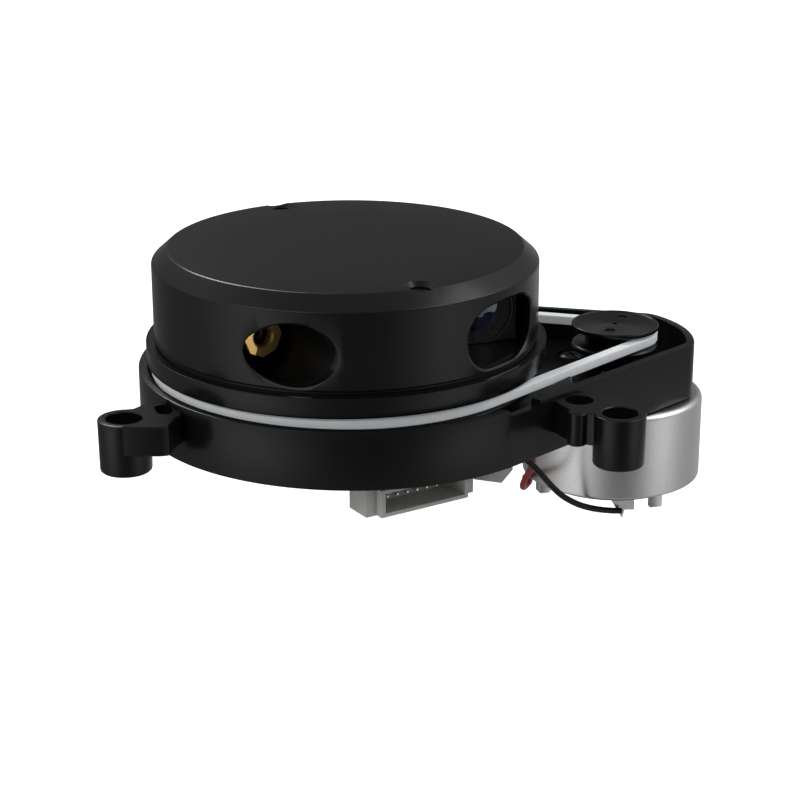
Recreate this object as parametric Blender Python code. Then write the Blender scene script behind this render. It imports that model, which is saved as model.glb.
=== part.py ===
"""Belt-driven laser scanner module: a spinning optical head on a base that carries its drive motor.

Built in metres, +Z up. The origin is on the head's spin axis, in the plane of the mounting feet.
+X points to the drive motor, and the two optical windows look along -Y.
"""
import math

import bmesh
import bpy
from mathutils import Matrix, Vector

MM = 0.001
GAP = 0.3                    # clearance between neighbouring pieces
FIT = 0.15                   # clearance in a bearing seat

# Head (turret)
HEAD_SEGMENTS = 52
HEAD_R = 32.6                # side wall of the cover
HEAD_TOP_R = 30.1            # flat top inside the chamfer
HEAD_TOP_Z = 30.35
HEAD_CHAMFER_Z = 27.95
COVER_WALL = 1.6
COVER_ROOF = 2.0
SKIRT_R = 34.0
SKIRT_TOP_Z = 14.4
SKIRT_BOTTOM_Z = 11.0
DECK_BOTTOM_Z = 12.9
FLANGE_R = 33.2              # lower lip of the belt groove
FLANGE_TOP_Z = 8.4
FLANGE_BOTTOM_Z = 7.3
COVER_SCREW_R = 28.4         # pitch radius of the two cover screws
COVER_SCREW_ANGLES = (-80.5, 99.5)
SCREW_WAY_R = 1.1            # hole the screw's shank passes through
WELL_R = 1.55                # bore above the screw's head
WELL_MOUTH_R = 2.75
WELL_MOUTH_DEPTH = 1.2
WELL_FLOOR_Z = 18.0

# Belt drive
PULLEY_X = 49.6              # motor axis
BELT_R = 1.0                 # belt cross-section radius
BELT_Z = 9.7
BELT_SIDES = 8
BELT_HEAD_R = 32.5           # belt centre line on the head
BELT_PULLEY_R = 6.6          # belt centre line on the pulley
PULLEY_R = 7.75
PULLEY_TOP_Z = 11.95
SHAFT_R = 1.0

# Base housing
RING_X = 1.7                 # centre of the ring wall
RING_R = 37.2
WALL = 1.45
RIM_Z = 9.9
FLOOR_TOP_Z = 3.65
FLOOR_BOTTOM_Z = 2.0
UNDER_POCKET_R = 32.3
TAIL_LEAN = 60.7             # direction of the tail's long side, as the angle of its normal
TAIL_CORNER_R = 5.0
TAIL_END_X = 43.0            # centre of the end arc
TAIL_END_R = 20.0
LUG_TOP_Z = 8.85
LUG_WEB_Z = 3.1
LUG_BOSS_R = 4.33
LUG_BORE_R = 2.93
LUG_HOLE_R = 1.7
LUG_SEAT_Z = 4.4
LEFT_BOSS = (-41.3, -16.3)   # centre of each boss, and its web in plan
LEFT_WEB = [(-42.3, -20.5), (-36.4, -22.1), (-35.2, -22.2), (-33.6, -19.0), (-32.0, -17.0),
            (-32.0, -10.5), (-37.7, -10.9), (-39.2, -12.1), (-41.6, -12.0)]
LEFT_SLOT_ENDS = ((-34.5, -15.0), (-34.5, -13.1))
LEFT_SLOT_R = 1.35
RIGHT_BOSS = (35.9, -36.5)
RIGHT_WEB = [(27.5, -27.5), (28.6, -32.6), (28.0, -34.8), (29.2, -35.6), (30.8, -35.9),
             (32.0, -38.4), (35.9, -36.5), (40.2, -36.5), (39.7, -29.4), (37.4, -28.4),
             (35.0, -25.5), (31.5, -23.5)]
RIGHT_HOLE = (31.8, -28.9)
RIGHT_HOLE_R = 2.35
LUG_BOSSES = (LEFT_BOSS, RIGHT_BOSS, (RIGHT_BOSS[0], -RIGHT_BOSS[1]))
NOTCH_ANGLES = (-65.0, -63.5, -52.5, -52.5)   # inner, outer, outer, inner corner of the rim notch
NOTCH_DEPTH = 1.1
FILLER_ANGLES = (-54.0, -38.0)                # wedge that fills the corner of ring and tail
FILLER_END = [(33.9, -19.3), (32.75, -23.3), (33.2, -24.0)]
BOARD_SCREW_R = 25.5
BOARD_SCREW_ANGLES = (35.0, 180.0, 325.0)

# Main bearing
POST_R = 8.35
BEARING_LOW_Z = 6.0
BEARING_HIGH_Z = 11.0
BALL_CIRCLE_R = 10.75
BALL_R = 1.1
BALL_COUNT = 10

# Circuit boards and motor
PCB_TOP_Z = 0.4
PCB_THICK = 1.6
MOTOR_R = 16.0
MOTOR_TOP_Z = -0.35
MOTOR_BOTTOM_Z = -15.8
MOTOR_SCREWS = ((PULLEY_X - 4.6, 9.0), (PULLEY_X + 4.6, -9.0))
TERMINALS = ((PULLEY_X - 2.2, -10.6), (PULLEY_X + 3.5, 10.6))
TERMINAL_THICK = 0.4
TAB_BOX = ((53.0, -11.1), (55.3, -9.9))       # second tab beside the front terminal
TAB_LOW_Z = -19.8

# Optics: the middle of each unit's front face, and how far it is turned from -Y towards +X
LASER_FRONT = (-18.55, -18.0, 20.95)
LASER_TURN = 17.5
LASER_PORT = (-15.95, -28.43, 20.73)          # middle of the port where it meets the wall
LASER_PORT_R = 5.2
CAMERA_X = 18.3
CAMERA_Z = 21.8
CAMERA_FRONT_Y = -17.0
CAMERA_WINDOW = ((12.0, 15.45), (26.5, 26.15))
CAMERA_WINDOW_CORNER = 5.0
SILL_ANGLES = (-68.6, -34.6)                  # shelf inside the camera window, in front of the lens
SILL_BACK_Y = -17.5
SILL_TOP_Z = 16.0
HEAD_BOARD_SCREWS = ((-17.0, 7.0), (17.0, 7.0))
HEAD_BOARD_R = 24.0
SENSOR_TURN = 150.0          # where the index sensor sits round the head

# Main connector: front left corner at its foot, and the direction of its row of pins
CONNECTOR_CORNER = (-3.3, -33.4, -6.3)
CONNECTOR_TURN = 16.0
CONNECTOR_WIDTH = 16.8
CONNECTOR_HEIGHT = 4.8
CONNECTOR_DEPTH = 6.8
CONNECTOR_WING = 2.0
PIN_COUNT = 8
PIN_PITCH = 1.88
FIRST_PIN = 1.85
PIN_HEIGHT = 3.1
PIN_HALF = 0.25

# Motor plug and its two leads
PLUG_TURN = 54.0
PLUG_CENTRE = (19.9, -21.7)
PLUG_LOW_Z = -5.3
LEAD_R = 0.55
LEAD_STEP = 1.5
BLACK_LEAD = [(23.6, -18.6, -3.9), (25.3, -19.2, -4.0), (27.0, -19.0, -5.3), (29.1, -18.5, -7.6),
              (31.5, -17.0, -10.5), (33.9, -15.8, -13.1), (36.1, -14.9, -14.9), (38.4, -14.0, -16.4),
              (40.6, -13.2, -17.5), (42.8, -12.4, -18.4), (45.1, -11.8, -19.1), (47.2, -11.5, -19.5)]
RED_LEAD = [(22.2, -17.3, -3.9), (25.4, -16.8, -3.8), (28.2, -16.6, -5.0), (28.6, -15.5, -7.6),
            (28.2, -14.0, -10.0), (28.2, -12.5, -12.0), (29.1, -10.7, -13.2), (31.0, -8.2, -13.2),
            (32.1, -4.0, -14.2), (33.6, 1.0, -16.2), (37.2, 5.2, -17.6), (43.0, 8.6, -18.2),
            (48.6, 9.8, -18.3), (52.6, 9.8, -18.2)]

COLOURS = {
    "black_plastic": ((0.025, 0.025, 0.027), 0.45, 0.0),
    "dark_plastic": ((0.05, 0.05, 0.055), 0.55, 0.0),
    "belt_rubber": ((0.62, 0.65, 0.66), 0.55, 0.0),
    "connector_plastic": ((0.34, 0.34, 0.32), 0.5, 0.0),
    "motor_steel": ((0.62, 0.62, 0.61), 0.35, 1.0),
    "steel": ((0.5, 0.5, 0.52), 0.3, 1.0),
    "tin": ((0.7, 0.7, 0.68), 0.35, 1.0),
    "brass": ((0.62, 0.43, 0.16), 0.3, 1.0),
    "board": ((0.02, 0.12, 0.05), 0.5, 0.0),
    "ferrite": ((0.08, 0.08, 0.085), 0.7, 0.0),
    "copper": ((0.6, 0.26, 0.12), 0.4, 1.0),
    "glass": ((0.35, 0.4, 0.5), 0.05, 0.0),
    "red_sleeve": ((0.45, 0.04, 0.03), 0.5, 0.0),
    "black_sleeve": ((0.02, 0.02, 0.02), 0.45, 0.0),
}


def clear_scene():
    """Start from an empty scene."""
    for old in list(bpy.data.objects):
        bpy.data.objects.remove(old, do_unlink=True)


def material(name):
    """The named material, made the first time it is asked for."""
    found = bpy.data.materials.get(name)
    if found:
        return found
    colour, roughness, metallic = COLOURS[name]
    made = bpy.data.materials.new(name)
    made.use_nodes = True
    shader = made.node_tree.nodes["Principled BSDF"]
    shader.inputs["Base Color"].default_value = (*colour, 1.0)
    shader.inputs["Roughness"].default_value = roughness
    shader.inputs["Metallic"].default_value = metallic
    return made


def add_object(name, bm, origin=(0.0, 0.0, 0.0), paint=None, smooth=True):
    """Turn a bmesh in millimetres into a named object whose origin is at the given point."""
    shift = Vector(origin)
    for vert in bm.verts:
        vert.co = (vert.co - shift) * MM
    bmesh.ops.recalc_face_normals(bm, faces=bm.faces)
    mesh = bpy.data.meshes.new(name)
    bm.to_mesh(mesh)
    bm.free()
    if smooth:
        mesh.shade_smooth()
        mesh.set_sharp_from_angle(angle=math.radians(35))
    obj = bpy.data.objects.new(name, mesh)
    obj.location = shift * MM
    if paint:
        mesh.materials.append(material(paint))
    bpy.context.scene.collection.objects.link(obj)
    return obj


def turned(profile, segments, centre=(0.0, 0.0)):
    """Bmesh of a closed (radius, height) outline turned about a vertical axis."""
    bm = bmesh.new()
    rings = []
    for radius, height in profile:
        if radius < 1e-6:
            rings.append([bm.verts.new((centre[0], centre[1], height))])
            continue
        ring = []
        for step in range(segments):
            angle = 2 * math.pi * step / segments
            x = centre[0] + radius * math.cos(angle)
            y = centre[1] + radius * math.sin(angle)
            ring.append(bm.verts.new((x, y, height)))
        rings.append(ring)
    for here, there in zip(rings, rings[1:] + rings[:1]):
        if len(here) == 1 and len(there) == 1:
            continue
        for step in range(segments):
            after = (step + 1) % segments
            corners = [here[step % len(here)], there[step % len(there)],
                       there[after % len(there)], here[after % len(here)]]
            bm.faces.new(list(dict.fromkeys(corners)))
    return bm


def prism(outline, low, high):
    """Bmesh of a flat (x, y) outline between two heights."""
    bm = bmesh.new()
    bottom = [bm.verts.new((x, y, low)) for x, y in outline]
    top = [bm.verts.new((x, y, high)) for x, y in outline]
    bm.faces.new(bottom)
    bm.faces.new(list(reversed(top)))
    for index in range(len(outline)):
        after = (index + 1) % len(outline)
        bm.faces.new((bottom[index], top[index], top[after], bottom[after]))
    return bm


def arc(centre, radius, start, end, steps):
    """Points on an arc, angles in degrees, both ends included."""
    points = []
    for step in range(steps + 1):
        angle = math.radians(start + (end - start) * step / steps)
        points.append((centre[0] + radius * math.cos(angle), centre[1] + radius * math.sin(angle)))
    return points


def circle(centre, radius, steps):
    """Points on a full circle."""
    return arc(centre, radius, 0.0, 360.0, steps)[:-1]


def turned_point(point, degrees):
    """A plan point turned about the origin."""
    angle = math.radians(degrees)
    x = point[0] * math.cos(angle) - point[1] * math.sin(angle)
    y = point[0] * math.sin(angle) + point[1] * math.cos(angle)
    return (x, y)


def box_outline(low, high):
    """Corner points of a plan rectangle."""
    return [(low[0], low[1]), (high[0], low[1]), (high[0], high[1]), (low[0], high[1])]


def merged(parts):
    """One bmesh that holds several, for a cutter or for pieces that a union will join."""
    whole = bmesh.new()
    for part in parts:
        mesh = bpy.data.meshes.new("part")
        part.to_mesh(mesh)
        part.free()
        whole.from_mesh(mesh)
        bpy.data.meshes.remove(mesh)
    return whole


def lying(bm, centre):
    """Lay a bmesh that was made about +Z along the Y axis, and move it to a centre."""
    bmesh.ops.rotate(bm, verts=bm.verts, cent=(0, 0, 0), matrix=Matrix.Rotation(math.radians(90), 3, "X"))
    bmesh.ops.translate(bm, verts=bm.verts, vec=centre)
    return bm


def aimed(bm, front, turn):
    """Lay a bmesh made about +Z so that +Z points outwards, turned from -Y, with its origin at a point."""
    lying(bm, (0, 0, 0))
    bmesh.ops.rotate(bm, verts=bm.verts, cent=(0, 0, 0), matrix=Matrix.Rotation(math.radians(turn), 3, "Z"))
    bmesh.ops.translate(bm, verts=bm.verts, vec=front)
    return bm


def extruded(side, place, half):
    """Bmesh of a closed outline run sideways by half each way; place(across, u, v) gives a world point."""
    bm = bmesh.new()
    left = [bm.verts.new(place(-half, u, v)) for u, v in side]
    right = [bm.verts.new(place(half, u, v)) for u, v in side]
    bm.faces.new(left)
    bm.faces.new(list(reversed(right)))
    for index in range(len(side)):
        after = (index + 1) % len(side)
        bm.faces.new((left[index], right[index], right[after], left[after]))
    return bm


def shape_with(obj, name, bm, operation):
    """Cut a shape out of an object, or join it on, and hide the tool."""
    tool = add_object(name, bm, smooth=False)
    tool.hide_render = True
    tool.display_type = "WIRE"
    step = obj.modifiers.new(name, "BOOLEAN")
    step.operation = operation
    step.object = tool
    step.solver = "EXACT"


def cut(obj, name, bm):
    shape_with(obj, name, bm, "DIFFERENCE")


def join(obj, name, bm):
    shape_with(obj, name, bm, "UNION")


def tail_outline(inset):
    """Plan outline of the ring and its tail, moved inwards by an inset."""
    lean = math.radians(TAIL_LEAN)
    normal = Vector((math.cos(lean), math.sin(lean)))
    side = normal.x * RING_X + RING_R
    # the corner fillet touches the straight side and the end arc
    inner = TAIL_END_R - TAIL_CORNER_R
    offset = side - TAIL_CORNER_R - normal.x * TAIL_END_X
    along = math.sqrt(inner ** 2 - offset ** 2)
    corner = Vector((TAIL_END_X, 0)) + normal * offset + Vector((normal.y, -normal.x)) * along
    end_angle = math.degrees(math.atan2(corner.y, corner.x - TAIL_END_X))
    points = arc((RING_X, 0), RING_R - inset, TAIL_LEAN, 360 - TAIL_LEAN, 40)
    points += arc((corner.x, -corner.y), TAIL_CORNER_R - inset, -TAIL_LEAN, -end_angle, 4)
    points += arc((TAIL_END_X, 0), TAIL_END_R - inset, -end_angle, end_angle, 8)[1:-1]
    points += arc((corner.x, corner.y), TAIL_CORNER_R - inset, end_angle, TAIL_LEAN, 4)
    return points


def mirrored(points):
    """The outline on the other side of the XZ plane, still running the same way round."""
    return [(x, -y) for x, y in reversed(points)]


def base_housing():
    """Ring wall, tail, floor, bearing post and three mounting lugs in one moulding."""
    base = add_object("base_housing", prism(tail_outline(0.0), 0.0, RIM_Z), paint="black_plastic")
    bosses = [prism(circle(boss, LUG_BOSS_R, 24), 0.0, LUG_TOP_Z) for boss in LUG_BOSSES]
    join(base, "lug_bosses", merged(bosses))
    webs = [prism(web, LUG_WEB_Z, LUG_TOP_Z) for web in (LEFT_WEB, RIGHT_WEB, mirrored(RIGHT_WEB))]
    join(base, "lug_webs", merged(webs))
    cut(base, "tray_cutter", prism(tail_outline(WALL), FLOOR_TOP_Z, RIM_Z + 2))
    join(base, "corner_filler", prism(filler_outline(), FLOOR_TOP_Z - 0.5, RIM_Z - 0.05))
    under = turned([(0, -1), (UNDER_POCKET_R, -1), (UNDER_POCKET_R, FLOOR_BOTTOM_Z), (0, FLOOR_BOTTOM_Z)], 40)
    cut(base, "underside_cutter", under)
    post = turned([(0, FLOOR_BOTTOM_Z + 0.5), (12, FLOOR_BOTTOM_Z + 0.5), (12, 4.6), (9.9, 4.6),
                   (9.9, BEARING_LOW_Z - FIT), (POST_R, BEARING_LOW_Z - FIT), (POST_R, 12.4), (0, 12.4)], 32)
    join(base, "bearing_post", post)
    standoffs = []
    for angle in BOARD_SCREW_ANGLES:
        place = turned_point((BOARD_SCREW_R, 0), angle)
        standoffs.append(prism(circle(place, 2.6, 16), PCB_TOP_Z + GAP, FLOOR_BOTTOM_Z + 0.3))
    join(base, "board_standoffs", merged(standoffs))
    cut(base, "base_hole_cutter", merged(base_holes()))
    cut(base, "clip_groove_cutter", turned([(7.7, 11.2), (9, 11.2), (9, 12.0), (7.7, 12.0)], 32))


def stepped_hole(centre, narrow, wide, low, step, high):
    """A through hole with a wider counterbore above a step."""
    profile = [(0, low), (narrow, low), (narrow, step), (wide, step), (wide, high), (0, high)]
    return turned(profile, 16, centre)


def filler_outline():
    """Plan of the wedge between the ring wall and the front of the tail, clear of the belt."""
    points = arc((RING_X, 0), RING_R - WALL, *FILLER_ANGLES, 4) + FILLER_END
    return points + arc((RING_X, 0), RING_R - WALL / 2, FILLER_ANGLES[0], FILLER_ANGLES[0], 1)[:1]


def slot_outline(ends, radius):
    """Plan of a slot that runs along Y between two centres."""
    return arc(ends[0], radius, 180, 360, 8) + arc(ends[1], radius, 0, 180, 8)


def base_holes():
    """Every hole and notch in the base, as separate cutting solids."""
    holes = []
    for boss in LUG_BOSSES:
        holes.append(stepped_hole(boss, LUG_HOLE_R, LUG_BORE_R, -1, LUG_SEAT_Z, LUG_TOP_Z + 1))
    hole = circle(RIGHT_HOLE, RIGHT_HOLE_R, 20)
    for outline in (slot_outline(LEFT_SLOT_ENDS, LEFT_SLOT_R), hole, mirrored(hole)):
        holes.append(prism(outline, LUG_WEB_Z - 1, LUG_TOP_Z + 1))
    holes.append(prism(circle((0, 0), 5.5, 32), 0, 14))
    holes.append(prism(circle((PULLEY_X, 0), 4.4, 28), -1, FLOOR_TOP_Z + 1))
    for screw in MOTOR_SCREWS:
        holes.append(stepped_hole(screw, 1.5, 2.7, -1, 2.2, FLOOR_TOP_Z + 1))
    for angle in BOARD_SCREW_ANGLES:
        holes.append(prism(circle(turned_point((BOARD_SCREW_R, 0), angle), 1.25, 12), 0, 3.0))
    notch = []
    for radius, angle in zip((RING_R - 3, RING_R + 1, RING_R + 1, RING_R - 3), NOTCH_ANGLES):
        x, y = turned_point((radius, 0), angle)
        notch.append((x + RING_X, y))
    holes.append(prism(notch, RIM_Z - NOTCH_DEPTH, RIM_Z + 1))
    return holes


def encoder_ring():
    """Toothed ring on the base floor that the head's sensor reads as it turns."""
    foot = [(22.3, 3.95), (25.8, 3.95), (25.8, 5.2), (22.3, 5.2)]
    ring = add_object("encoder_ring", turned(foot, 45), paint="black_plastic")
    fence = [(25.0, 4.6), (25.8, 4.6), (25.8, 9.4), (25.0, 9.4)]
    join(ring, "tooth_fence", turned(fence, 45))
    slots = []
    for step in range(15):
        corners = [(24.0, -2.6), (27.0, -2.6), (27.0, 2.6), (24.0, 2.6)]
        slots.append(prism([turned_point(corner, 24 * step) for corner in corners], 6.0, 10.4))
    cut(ring, "tooth_gap_cutter", merged(slots))


def pan_screw(name, centre, seat, tip, head_r, shank_r, head_height=1.3, sign=1, paint="steel"):
    """A pan-head screw with a cross recess; sign 1 points its head up, -1 points it down."""
    profile = [(0, tip), (shank_r, tip), (shank_r, seat), (head_r, seat),
               (head_r, seat + sign * head_height * 0.6), (head_r * 0.7, seat + sign * head_height),
               (0, seat + sign * head_height)]
    screw = add_object(name, turned(profile, 14, centre), (*centre, seat), paint)
    top = seat + sign * head_height
    low, high = sorted((top + sign * 0.5, top - sign * head_height * 0.5))
    half = head_r * 0.55
    thin = head_r * 0.1
    x, y = centre
    for number, (across, along) in enumerate(((half, thin), (thin, half)), start=1):
        slot = prism(box_outline((x - across, y - along), (x + across, y + along)), low, high)
        cut(screw, f"{name}_recess_cutter_{number}", slot)
    return screw


def base_board():
    """Round main board under the floor, with three screws and the link's receiver."""
    low = PCB_TOP_Z - PCB_THICK
    board = add_object("base_board", prism(circle((0, 0), 31.5, 48), low, PCB_TOP_Z), paint="board")
    holes = []
    for angle in BOARD_SCREW_ANGLES:
        holes.append(prism(circle(turned_point((BOARD_SCREW_R, 0), angle), 1.4, 14), low - 1, PCB_TOP_Z + 1))
    cut(board, "board_hole_cutter", merged(holes))
    for number, angle in enumerate(BOARD_SCREW_ANGLES, start=1):
        place = turned_point((BOARD_SCREW_R, 0), angle)
        pan_screw(f"board_screw_{number}", place, low - 0.1, 2.8, 2.2, 1.0, sign=-1)
    receiver = [(0, PCB_TOP_Z + 0.1), (2.5, PCB_TOP_Z + 0.1), (2.5, 3.4), (2.0, 4.6), (0.9, 5.3), (0, 5.4)]
    add_object("link_receiver", turned(receiver, 24), paint="glass")


def connector_place(along, inward, up):
    """World point measured from the main connector's front left foot corner."""
    x, y = turned_point((along, inward), CONNECTOR_TURN)
    return (CONNECTOR_CORNER[0] + x, CONNECTOR_CORNER[1] + y, CONNECTOR_CORNER[2] + up)


def connector_box(low, high):
    """A box in the main connector's own directions: along its pins, inwards, up."""
    corners = [connector_place(along, inward, 0)[:2] for along, inward in box_outline(low, high)]
    return prism(corners, CONNECTOR_CORNER[2] + low[2], CONNECTOR_CORNER[2] + high[2])


def main_connector():
    """Eight-way side-entry header under the front of the board."""
    width, depth, height = CONNECTOR_WIDTH, CONNECTOR_DEPTH, CONNECTOR_HEIGHT
    body = connector_box((0, 0, 0), (width, depth, height))
    shell = add_object("main_connector", body, paint="connector_plastic", smooth=False)
    wings = connector_box((-CONNECTOR_WING, 1.5, 0), (width + CONNECTOR_WING, depth - 0.1, height))
    join(shell, "connector_wings", wings)
    mouth = connector_box((0.8, -1, 0.7), (width - 0.7, 5.2, height - 0.7))
    cut(shell, "connector_mouth_cutter", mouth)
    holes = []
    for number in range(PIN_COUNT):
        along = FIRST_PIN + PIN_PITCH * number
        low = (along - 0.4, 5.0, PIN_HEIGHT - 0.4)
        holes.append(connector_box(low, (along + 0.4, depth + 1, PIN_HEIGHT + 0.4)))
    cut(shell, "connector_pin_cutter", merged(holes))
    for number in range(PIN_COUNT):
        connector_pin(number)


def connector_pin(number):
    """Square pin: straight back through the header, then up towards the board."""
    along = FIRST_PIN + PIN_PITCH * number
    reach = CONNECTOR_DEPTH + 0.9
    top = PCB_TOP_Z - PCB_THICK - 0.1 - CONNECTOR_CORNER[2]
    side = [(1.0, PIN_HEIGHT - PIN_HALF), (reach + PIN_HALF, PIN_HEIGHT - PIN_HALF), (reach + PIN_HALF, top),
            (reach - PIN_HALF, top), (reach - PIN_HALF, PIN_HEIGHT + PIN_HALF), (1.0, PIN_HEIGHT + PIN_HALF)]
    pin = extruded(side, lambda across, u, v: connector_place(along + across, u, v), PIN_HALF)
    add_object(f"connector_pin_{number + 1}", pin, paint="tin", smooth=False)


def plug_box(low, high):
    """A box in the motor plug's own directions, measured from its centre."""
    corners = []
    for corner in box_outline(low, high):
        x, y = turned_point(corner, PLUG_TURN)
        corners.append((PLUG_CENTRE[0] + x, PLUG_CENTRE[1] + y))
    return prism(corners, low[2], high[2])


def motor_plug():
    """Two-way header on the board and the plug on the motor leads that sits in it."""
    header = add_object("motor_header", plug_box((-4.4, -2.5, PLUG_LOW_Z), (2.0, 2.5, -1.5)),
                        paint="connector_plastic", smooth=False)
    cut(header, "header_mouth_cutter", plug_box((-3.0, -1.9, PLUG_LOW_Z + 0.6), (3.0, 1.9, -2.1)))
    add_object("motor_plug", plug_box((-1.0, -1.6, PLUG_LOW_Z + 0.9), (4.2, 1.6, -2.4)),
               paint="connector_plastic", smooth=False)


def drive_motor():
    """Can motor hung under the tail: case, magnets, armature, commutator, bushes and end cap."""
    centre = (PULLEY_X, 0)
    origin = (PULLEY_X, 0, 0)
    round_r = 1.2
    can = [(1.9, 1.9), (3.9, 1.9), (3.9, MOTOR_TOP_Z)]
    can += [(MOTOR_R - round_r + x, MOTOR_TOP_Z - round_r + z) for x, z in arc((0, 0), round_r, 90, 0, 3)]
    can += [(MOTOR_R, MOTOR_BOTTOM_Z + 0.6), (MOTOR_R - 0.6, MOTOR_BOTTOM_Z), (MOTOR_R - 1.0, MOTOR_BOTTOM_Z),
            (MOTOR_R - 1.0, -2.0), (2.9, -1.6), (1.9, 1.0)]
    case = add_object("motor_can", turned(can, 36, centre), origin, "motor_steel")
    taps = [prism(circle(screw, 1.2, 14), -4, 1) for screw in MOTOR_SCREWS]
    cut(case, "motor_tap_cutter", merged(taps))
    cap = [(1.5, -17.3), (3.4, -17.3), (4.2, -16.5), (4.2, -15.9), (9.0, -15.9), (9.6, -15.3), (14.6, -15.3),
           (14.6, -13.6), (2.9, -13.6), (2.9, -15.6), (1.5, -15.6)]
    end = add_object("motor_end_cap", turned(cap, 28, centre), origin, "dark_plastic")
    join(end, "cap_tab", prism(box_outline(*TAB_BOX), TAB_LOW_Z, MOTOR_BOTTOM_Z + 1.0))
    slots = []
    for place in TERMINALS:
        low = (place[0] - 1.5, place[1] - 0.45)
        high = (place[0] + 1.5, place[1] + 0.45)
        slots.append(prism(box_outline(low, high), -18, -12))
    cut(end, "terminal_slot_cutter", merged(slots))
    for number, start in enumerate((20.0, 200.0), start=1):
        outline = arc(centre, 14.6, start, start + 140, 14) + arc(centre, 12.4, start + 140, start, 14)
        add_object(f"motor_magnet_{number}", prism(outline, -12.6, -3.0), origin, "ferrite")
    motor_terminals()
    motor_rotor(centre, origin)
    for number, screw in enumerate(MOTOR_SCREWS, start=1):
        pan_screw(f"motor_screw_{number}", screw, 2.35, -1.7, 2.3, 1.0)


def motor_terminals():
    """Two solder tags that stand out of the end cap, each with a pointed tip and a wire hole."""
    names = ("motor_terminal_black", "motor_terminal_red")
    for name, place in zip(names, TERMINALS):
        side = [(-1.2, -13.0), (-1.2, -16.0), (-2.0, -16.2), (-2.0, -17.2), (0.4, -21.2), (0.8, -19.7),
                (2.7, -19.9), (2.6, -17.7), (2.6, -16.0), (1.2, -16.0), (1.2, -13.0)]
        x, y = place
        tag = extruded(side, lambda across, u, v: (x + u, y + across, v), TERMINAL_THICK / 2)
        add_object(name, tag, (*place, -13.0), "tin", smooth=False)


def motor_rotor(centre, origin):
    """Shaft, wound core, commutator and the two bushes it turns in."""
    shaft = [(0, -17.0), (SHAFT_R, -17.0), (SHAFT_R, 11.4), (0, 11.4)]
    add_object("motor_shaft", turned(shaft, 16, centre), origin, "steel")
    core = [(1.3, -11.0), (11.6, -11.0), (11.6, -4.0), (1.3, -4.0)]
    armature = add_object("motor_armature", turned(core, 30, centre), origin, "copper")
    slots = []
    for step in range(5):
        corners = [turned_point(corner, 72 * step) for corner in box_outline((7.0, -0.9), (13.0, 0.9))]
        slots.append(prism([(x + PULLEY_X, y) for x, y in corners], -12, -3))
    cut(armature, "winding_slot_cutter", merged(slots))
    commutator = [(1.3, -13.2), (2.5, -13.2), (2.5, -11.3), (1.3, -11.3)]
    add_object("motor_commutator", turned(commutator, 16, centre), origin, "brass")
    upper = [(1.15, -1.0), (1.75, -1.0), (1.75, 1.5), (1.15, 1.5)]
    add_object("motor_bush_upper", turned(upper, 16, centre), origin, "brass")
    lower = [(1.15, -15.3), (2.6, -15.3), (2.6, -13.8), (1.15, -13.8)]
    add_object("motor_bush_lower", turned(lower, 16, centre), origin, "brass")


def drive_pulley():
    """Grooved pulley pressed on the motor shaft, with two shallow marks in its top."""
    profile = [(SHAFT_R + FIT, 4.2), (3.2, 4.2), (3.2, 7.2), (7.3, 7.2), (PULLEY_R, 7.5), (PULLEY_R, 8.1),
               (7.4, 8.45), (5.3, 8.45), (5.3, 10.95), (7.4, 10.95), (PULLEY_R, 11.2), (PULLEY_R, 11.8),
               (7.6, PULLEY_TOP_Z), (7.35, PULLEY_TOP_Z), (7.25, 11.8), (0.45, 11.8), (0.45, 11.6),
               (SHAFT_R + FIT, 11.6)]
    pulley = add_object("drive_pulley", turned(profile, 32, (PULLEY_X, 0)), (PULLEY_X, 0, 0), "black_plastic")
    marks = []
    for x, y in ((2.7, 3.4), (-2.4, -3.6)):
        marks.append(prism(circle((PULLEY_X + x, y), 0.95, 14), 11.4, 13))
    cut(pulley, "pulley_mark_cutter", merged(marks))


def belt_path():
    """Centre line of the belt in plan: both wraps and the straight runs between them."""
    lean = math.degrees(math.acos((BELT_HEAD_R - BELT_PULLEY_R) / PULLEY_X))
    path = arc((0, 0), BELT_HEAD_R, lean, 360 - lean, 52)
    wrap = arc((PULLEY_X, 0), BELT_PULLEY_R, -lean, lean, 12)
    return path + wrap


def drive_belt():
    """Round belt, swept as one closed loop."""
    path = belt_path()
    bm = bmesh.new()
    rings = []
    for index, (x, y) in enumerate(path):
        before = Vector(path[index - 1])
        after = Vector(path[(index + 1) % len(path)])
        along = (after - before).normalized()
        outward = Vector((along.y, -along.x))
        ring = []
        for step in range(BELT_SIDES):
            angle = 2 * math.pi * step / BELT_SIDES
            across = BELT_R * math.cos(angle)
            height = BELT_Z + BELT_R * math.sin(angle)
            ring.append(bm.verts.new((x + outward.x * across, y + outward.y * across, height)))
        rings.append(ring)
    for here, there in zip(rings, rings[1:] + rings[:1]):
        for step in range(BELT_SIDES):
            after = (step + 1) % BELT_SIDES
            bm.faces.new((here[step], here[after], there[after], there[step]))
    add_object("drive_belt", bm, paint="belt_rubber")


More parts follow.
